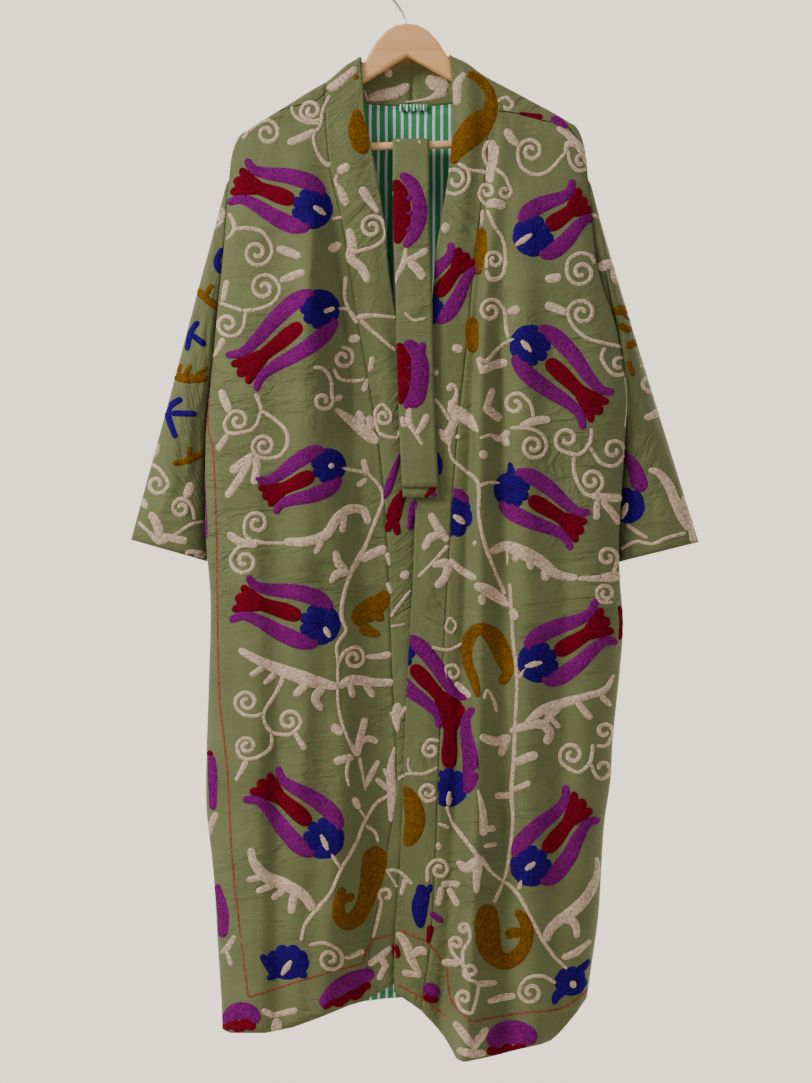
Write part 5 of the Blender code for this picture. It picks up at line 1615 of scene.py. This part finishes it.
def chain_stitches(name):
    """Rows of links in crimped wool, in the colour that each stroke carries, with painted shade darkening
    each link towards its rim, in the grooves between links.
    """
    material, shader, value = finish(name, 0.95)
    shader.inputs["Specular IOR Level"].default_value = 0.04
    spot = value.node("ShaderNodeTexCoord", out=2)
    place_on = value.node("ShaderNodeTexCoord", out=3)
    yarn = value.node("ShaderNodeAttribute", {"attribute_name": "yarn"})
    crimp = value.node("ShaderNodeTexNoise", {}, {"Vector": place_on, "Scale": 420.0, "Detail": 3.0}, out=1)
    blending = {"data_type": "RGBA", "blend_type": "LINEAR_LIGHT"}
    strayed = value.node("ShaderNodeMix", blending, {0: 0.0011, 6: spot, 7: crimp}, out=2)
    rows = value.node("ShaderNodeMapping", {}, {"Vector": strayed, "Scale": (440, 300, 1)})
    links = value.node("ShaderNodeTexVoronoi", {}, {"Vector": rows, "Scale": 1.0, "Randomness": 0.6})
    tint = value.node("ShaderNodeTexVoronoi", {}, {"Vector": rows, "Scale": 1.0, "Randomness": 0.6}, out=1)
    fuzz = value.node("ShaderNodeTexNoise", {}, {"Vector": place_on, "Scale": 1500.0, "Detail": 2.0})
    worn = value.node("ShaderNodeTexNoise", {}, {"Vector": place_on, "Scale": 60.0, "Detail": 3.0})
    # Painted shade: the colour darkens towards each link's rim, in the grooves between links; the tint, fuzz
    # and worn terms vary it at random.
    shade = 1.50 - links * 0.95 + (tint - 0.5) * 0.55 + (fuzz - 0.5) * 0.7 + (worn - 0.5) * 0.3
    tone = value.node("ShaderNodeVectorMath", {"operation": "SCALE"}, {0: yarn, "Scale": shade})
    feed(shader, "Base Color", tone)
    emboss(shader, fuzz * 0.45 - links, 0.9, 0.0012)
    return material


wool = chain_stitches("chain-stitched wool")


def gather_cloth(names):
    """The outsides of some pieces as one tree to search, and each of its faces' piece."""
    graph = bpy.context.evaluated_depsgraph_get()
    places, faces, owners = [], [], []
    for name in names:
        mesh = pieces[name].evaluated_get(graph).to_mesh()
        first = len(places)
        places += [vertex.co.copy() for vertex in mesh.vertices]
        faces += [[first + k for k in polygon.vertices] for polygon in mesh.polygons]
        owners += [name] * len(mesh.polygons)
    return BVHTree.FromPolygons(places, faces), owners


GROUNDS = {
    "body": ("front_left", "front_right", "band_left", "band_right", "back", "lining_back"),
    "band_right": ("band_right", "front_right"),
    "front_right": ("front_right",),
    "sleeve_left": ("sleeve_left",),
    "sleeve_right": ("sleeve_right",),
    "belt": ("belt",),
}
grounds = {name: gather_cloth(names) for name, names in GROUNDS.items()}
stitching = {}
for name in pieces:
    if name != "lining_back":
        stitching[name] = bmesh.new()
        stitching[name].verts.layers.float_color.new("yarn")
        stitching[name].loops.layers.uv.verify()


def laid(ground, side, across, drop, height):
    """Where a place of the design, seen from in front or behind, lies on the cloth, and on which piece."""
    eye = Vector((0, side * VIEW_DISTANCE, -EYE_DROP)) * MM
    aim = Vector((across, 0, -drop)) * MM - eye
    tree, owners = grounds[ground]
    place_hit, normal, face, _ = tree.ray_cast(eye, aim)
    if face is None or owners[face] not in stitching:
        return None, None
    if normal.dot(aim) > 0:
        normal.negate()
    leaning = (normal * 2 - aim.normalized()).normalized()
    return place_hit + leaning * height * MM, owners[face]


# How often the way to the cloth's edge is halved
HALVINGS = 6


def cut_back(ground, side, inside, outside):
    """The last place on the way to an outside spot that is still on the cloth."""
    inside, outside = np.array(inside[:2]), np.array(outside[:2])
    for _ in range(HALVINGS):
        middle = (inside + outside) / 2
        if laid(ground, side, *middle, 0)[1]:
            inside = middle
        else:
            outside = middle
    return laid(ground, side, *inside, 0)


def laid_grid(ground, side, grid):
    """Where each place of a grid lies on the cloth. One that misses the cloth is drawn back to its edge."""
    hits = {(i, j): laid(ground, side, *spot[:3]) for i, row in enumerate(grid) for j, spot in enumerate(row)}
    edged = {}
    for (i, j), (_, owner) in hits.items():
        if owner:
            continue
        near = [key for key in ((i, j - 1), (i, j + 1), (i - 1, j), (i + 1, j)) if hits.get(key, (0, 0))[1]]
        if near:
            edged[i, j] = cut_back(ground, side, grid[near[0][0]][near[0][1]], grid[i][j])
    return {**hits, **edged}


def grid_on(shape, grid, hits, colour):
    """Adds a grid to a piece's stitching, at its places on the cloth. Gives the piece under each vertex."""
    tint = shape.verts.layers.float_color["yarn"]
    map_layer = shape.loops.layers.uv.verify()
    width = len(grid[0])
    sizes = {"x_segments": width - 1, "y_segments": len(grid) - 1, "size": 1}
    owners = {}
    for k, vert in enumerate(bmesh.ops.create_grid(shape, calc_uvs=False, **sizes)["verts"]):
        point, owners[vert] = hits[divmod(k, width)]
        vert[tint] = colour
        vert.co = point or (0, 0, 9)
        for loop in vert.link_loops:
            loop[map_layer].uv = Vector(grid[k // width][k % width][3:]) * MM
    return owners


def stitched(ground, side, grid, yarn, closed=False):
    """Lays rows of (across, drop, height, u, v) on the cloth, as a grid of faces on each piece they meet."""
    hits = laid_grid(ground, side, grid)
    tone = 1 + DYE_STRAYS * noise.noise((grid[0][0][0] * 0.7, grid[0][0][1] * 0.7, 0.5))
    colour = (*(part * tone for part in YARNS[yarn]), 1)
    for name in sorted({owner for _, owner in hits.values() if owner}):
        shape = stitching[name]
        owners = grid_on(shape, grid, hits, colour)
        faces = {face for vert in owners for face in vert.link_faces}
        dropped = []
        for face in faces:
            corners = [owners[vert] for vert in face.verts]
            depths = [vert.co.y for vert in face.verts]
            face.smooth = True
            if None in corners or corners[0] != name or max(depths) - min(depths) > DEEPEST_FACE * MM:
                dropped.append(face)
        kept = list(faces - set(dropped))
        for face in kept:
            face.normal_update()
        if sum(face.normal.y * side for face in kept) < 0:
            bmesh.ops.reverse_faces(shape, faces=kept)
        rim = list({vert for face in kept for vert in face.verts})
        bmesh.ops.delete(shape, geom=dropped, context="FACES")
        if closed:
            bmesh.ops.remove_doubles(shape, verts=rim, dist=0.00002)


def flowing(points):
    """A smooth line through points of equal columns, cut into steps of about a stitch."""
    ends = np.array([points[0], *points, points[-1]], float)
    line = []
    for before, start, end, after in zip(ends, ends[1:], ends[2:], ends[3:]):
        count = max(2, round(math.hypot(*(end - start)[:2]) / STITCH))
        for k in range(count):
            share = k / count
            bend = (2 * before - 5 * start + 4 * end - after) * share**2
            bend += (3 * (start - end) + after - before) * share**3
            line.append(0.5 * (2 * start + (end - before) * share + bend))
    line.append(ends[-1])
    return np.array(line)


# The least half widths of a stroke and of its ends, the share of its width that an end keeps, and the half
# width from which its middle is flat
LEAST_HALF = 0.3
LEAST_END = 0.8
END_SHARE = 0.25
FLAT_FROM = 5


def stroke(ground, side, yarn, points, height=YARN_HEIGHT):
    """A leaf, bud or vine: rows of stitches side by side along a line, rounded at both ends."""
    line = flowing(points)
    ahead = np.gradient(line[:, :2], axis=0)
    lengths = np.hypot(*ahead.T)
    run = np.concatenate([[0], np.cumsum(np.hypot(*np.diff(line[:, :2], axis=0).T))])
    widest = max(line[:, 2])
    strips = min(max(math.ceil(widest / ROW_WIDTH), 4), 9)
    across = [math.sin(math.pi * (k / strips - 0.5)) for k in range(strips + 1)]
    grid = []
    for (x, drop, half), (east, south), length, along in zip(line, ahead, lengths, run):
        end_half = max(points[0][2] if along < run[-1] / 2 else points[-1][2], LEAST_END)
        from_end = min(min(along, run[-1] - along) / end_half, 1)
        rounding = math.sqrt(max(1 - (1 - from_end) ** 2, 0.0))
        half = max(half * max(rounding, END_SHARE), LEAST_HALF)
        row = []
        for share in across:
            dome = 1 - abs(share) ** (4 if widest > FLAT_FROM else 2.5)
            lift = (height + YARN_SUNK) * dome * min(0.3 + rounding, 1) - YARN_SUNK
            spot = (x - share * half * south / length, drop + share * half * east / length)
            row.append((*spot, lift, share * half + x * 0.3, along))
        grid.append(row)
    stitched(ground, side, grid, yarn)


def rosette(ground, side, yarn, x, drop, radius, heading, half_span, lobes, squash=1.0, height=YARN_HEIGHT):
    """A round or part-round head of stitches, with lobes that are deepest on the side it heads to."""
    grid = []
    turns = max(10, round(radius * half_span / 50))
    for ring in (0.03, 0.25, 0.5, 0.75, 0.93, 1.0):
        row = []
        for k in range(turns + 1):
            share = k / turns
            angle = math.radians(heading + half_span * (2 * share - 1))
            towards = 0.35 + 0.65 * math.cos(angle - math.radians(heading)) if half_span == 180 else 1
            lobe = abs(math.sin(math.pi * lobes * share)) ** 0.5
            rim = radius * (1 - 0.22 * max(towards, 0.1) * (1 - lobe))
            lift = (height * (0.7 + 0.3 * lobe) + YARN_SUNK) * (1 - ring**6) - YARN_SUNK
            off = (math.cos(angle) * rim * ring, math.sin(angle) * rim * ring * squash)
            row.append((x + off[0], drop + off[1], lift, angle * radius * 0.5, rim * ring))
        grid.append(row)
    stitched(ground, side, grid, yarn, closed=half_span == 180)


# How near a curl's middle its end lies, and how much wider it is there
CURL_EYE = 2.6
CURL_SWELLS = 0.6


def curl(ground, side, points, middle, turns):
    """A vine's end wound up like a young fern."""
    start = math.atan2(points[-1][1] - middle[1], points[-1][0] - middle[0])
    reach = math.hypot(points[-1][1] - middle[1], points[-1][0] - middle[0])
    winding = []
    for k in range(1, 13):
        angle = start + math.tau * turns * k / 12
        radius = blend(reach, CURL_EYE, k / 12)
        spot = (middle[0] + radius * math.cos(angle), middle[1] + radius * math.sin(angle))
        winding.append((*spot, VINE + CURL_SWELLS * k / 12))
    stroke(ground, side, "cream", [(*point, VINE) for point in points] + winding)


# The outer petals, the middle one and its tips, of a tulip that heads along +X.
# columns: along, as a share of the middle petal's length, off its line, half width
OUTER_PETAL = [
    (-0.06, 21, 8), (0.12, 29, 11.5), (0.38, 27.5, 11), (0.66, 21, 8.5), (0.83, 21, 6.5), (0.95, 31, 5),
]
MIDDLE_PETAL = [(0.22, 0, 9), (0.40, 0, 11.5), (0.62, 0, 9.5), (0.82, 0, 10), (0.99, 0, 7)]
MIDDLE_TIP = [(0.66, 2, 7), (0.84, 8, 8), (0.97, 17, 4.5)]
HEART = 27.5
HEART_LOBES = 9
HEART_HEIGHT = YARN_HEIGHT + 0.6


def tulip(ground, side, x, drop, heading, length, bend, spread):
    """A tulip: a blue heart, a red petal in the middle and two magenta ones beside it."""
    turn = math.radians(heading)

    def turned(rows, hand=1):
        points = []
        for along, off, half in rows:
            out = along * length
            off = off * spread * hand + bend * max(along, 0) ** 2
            east = x + out * math.cos(turn) - off * math.sin(turn)
            south = drop + out * math.sin(turn) + off * math.cos(turn)
            points.append((east, south, half * (0.6 + 0.4 * spread)))
        return points

    for hand in (-1, 1):
        stroke(ground, side, "magenta", turned(OUTER_PETAL, hand))
    stroke(ground, side, "red", turned(MIDDLE_PETAL))
    for hand in (-1, 1):
        stroke(ground, side, "red", turned(MIDDLE_TIP, hand))
    rosette(ground, side, "blue", x, drop, HEART * spread, heading, 180, HEART_LOBES, height=HEART_HEIGHT)


def photo_spot(x, y):
    """How far across and down a pixel of the photo is on the coat, in whole millimetres."""
    return round((x - MIDDLE_PX) * PHOTO_MM), round(TOP_DROP + (y - TOP_PX) * PHOTO_MM)


def photo_row(yarn, x, y, half):
    """A point of a stroke and its half width, to the nearest half millimetre."""
    fuller = CREAM_FULLER if yarn == "cream" and half >= LEAF_PX else 1.0
    return (*photo_spot(x, y), round(half * fuller * PHOTO_MM * 2) / 2)


# A seed in a flower's heart: how far its ends reach as a share of its length, its half widths from one end
# to the other, and its height over the heart
SEED_REACH = 0.6
SEED_HALVES = [(-1, 2), (0, 5.4), (1, 2)]
SEED_HEIGHT = YARN_HEIGHT + 1.2
# Pieces that don't show from behind
FRONT_ONLY = ("belt", "band_right", "front_right")

for side in (-1, 1):
    for ground in GROUNDS:
        if side > 0 and ground in FRONT_ONLY:
            continue
        for x, y, heading, length, bend, spread in TULIPS.get(ground, ()):
            tulip(ground, side, *photo_spot(x, y), heading, round(length * PHOTO_MM), bend, spread)
        for yarn, x, y, radius, *form in ROSETTES.get(ground, ()):
            rosette(ground, side, yarn, *photo_spot(x, y), round(radius * PHOTO_MM), *form)
        for points, middle, turns in CURLS.get(ground, ()):
            curl(ground, side, [photo_spot(*point) for point in points], photo_spot(*middle), turns)
        for yarn, *points in STROKES.get(ground, ()):
            stroke(ground, side, yarn, [photo_row(yarn, *point) for point in points])
        for x, y, heading, length in SEEDS.get(ground, ()):
            across, drop = photo_spot(x, y)
            turn = math.radians(heading)
            reach = SEED_REACH * round(length * PHOTO_MM)
            ends = (math.cos(turn) * reach, math.sin(turn) * reach)
            lens = [(across + k * ends[0], drop + k * ends[1], half) for k, half in SEED_HALVES]
            stroke(ground, side, "cream", lens, SEED_HEIGHT)
        for points in BORDER.get(ground, ()):
            stroke(ground, side, "rust", [(*photo_spot(*point), RUST_LINE) for point in points], 0.5)
        # Painted shadow: a dark strip in the cloth's own green along each shoulder seam
        for points in SEAM_SHADOW_LINES.get(ground, ()):
            stroke(ground, side, "seam", [(*photo_spot(*point), SEAM_SHADOW_HALF) for point in points], 0.25)


for name, shape in stitching.items():
    if not shape.faces:
        shape.free()
        continue
    mesh = bpy.data.meshes.new(f"{name}_stitching")
    shape.to_mesh(mesh)
    shape.free()
    mesh.materials.append(wool)
    worked = bpy.data.objects.new(f"{name}_stitching", mesh)
    bpy.context.scene.collection.objects.link(worked)
    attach(worked, "root")


# The studio: a pale floor, a large soft light high on the left, a weaker one on the right, and the camera
# level with the coat's middle.

FLOOR_RADIUS = 1.15
FLOOR_DROP = 1.95
floor_shape = bmesh.new()
bmesh.ops.create_circle(floor_shape, cap_ends=True, segments=96, radius=FLOOR_RADIUS)
bmesh.ops.translate(floor_shape, verts=floor_shape.verts, vec=(0, 0, -FLOOR_DROP))
floor_mesh = bpy.data.meshes.new("floor")
floor_shape.to_mesh(floor_mesh)
floor_shape.free()
floor = bpy.data.objects.new("floor", floor_mesh)
bpy.context.scene.collection.objects.link(floor)
plaster, shader, value = finish("pale floor", 0.9)
place_on = value.node("ShaderNodeTexCoord", out=3)
cloudy = value.node("ShaderNodeTexNoise", {}, {"Vector": place_on, "Scale": 3.0, "Detail": 4.0})
feed(shader, "Base Color", cloudy.mixed((0.66, 0.63, 0.57, 1), (0.72, 0.69, 0.63, 1)))
floor_mesh.materials.append(plaster)

# The room is brighter behind the coat than in front of it.
world = bpy.data.worlds.new("soft room light")
bpy.context.scene.world = world
world.use_nodes = True
sky = world.node_tree.nodes["Background"]
value = Value(world.node_tree)
towards = value.node("ShaderNodeTexCoord")
away = value.node("ShaderNodeSeparateXYZ", {}, {"Vector": towards}, out=1) * 0.5 + 0.5
stops = [(0.0, (0.50, 0.49, 0.47, 1)), (0.56, (0.50, 0.49, 0.47, 1)), (0.84, (1.92, 1.70, 1.36, 1))]
feed(sky, "Color", value.node("ShaderNodeValToRGB", {"stops": stops}, {"Fac": away}))
sky.inputs["Strength"].default_value = 1.0

# columns: name, place, point aimed at, width, height, power, colour
LAMPS = [
    ("window", (-2.3, -1.5, 0.9), (0, 0, -0.6), 0.9, 1.2, 95, (1.0, 0.98, 0.94)),
    ("fill", (1.8, -2.2, -0.2), (0, 0, -0.8), 1.4, 1.8, 8, (1.0, 0.95, 0.90)),
    ("rear", (2.0, 1.6, 0.8), (0, 0, -0.6), 0.9, 1.2, 60, (1.0, 0.98, 0.95)),
]
for name, spot, aim, width, height, power, colour in LAMPS:
    lamp = bpy.data.lights.new(name, "AREA")
    lamp.shape = "RECTANGLE"
    lamp.size = width
    lamp.size_y = height
    lamp.energy = power
    lamp.color = colour
    holder = bpy.data.objects.new(name, lamp)
    holder.location = spot
    holder.rotation_euler = (Vector(aim) - Vector(spot)).to_track_quat("-Z", "Y").to_euler()
    bpy.context.scene.collection.objects.link(holder)

lens = bpy.data.cameras.new("camera")
lens.sensor_width = 36
lens.lens = 44.5
camera = bpy.data.objects.new("camera", lens)
camera.location = (EYE_ACROSS * MM, -VIEW_DISTANCE * MM, -EYE_DROP * MM)
camera.rotation_euler = (math.radians(90), 0, 0)
bpy.context.scene.collection.objects.link(camera)
bpy.context.scene.camera = camera
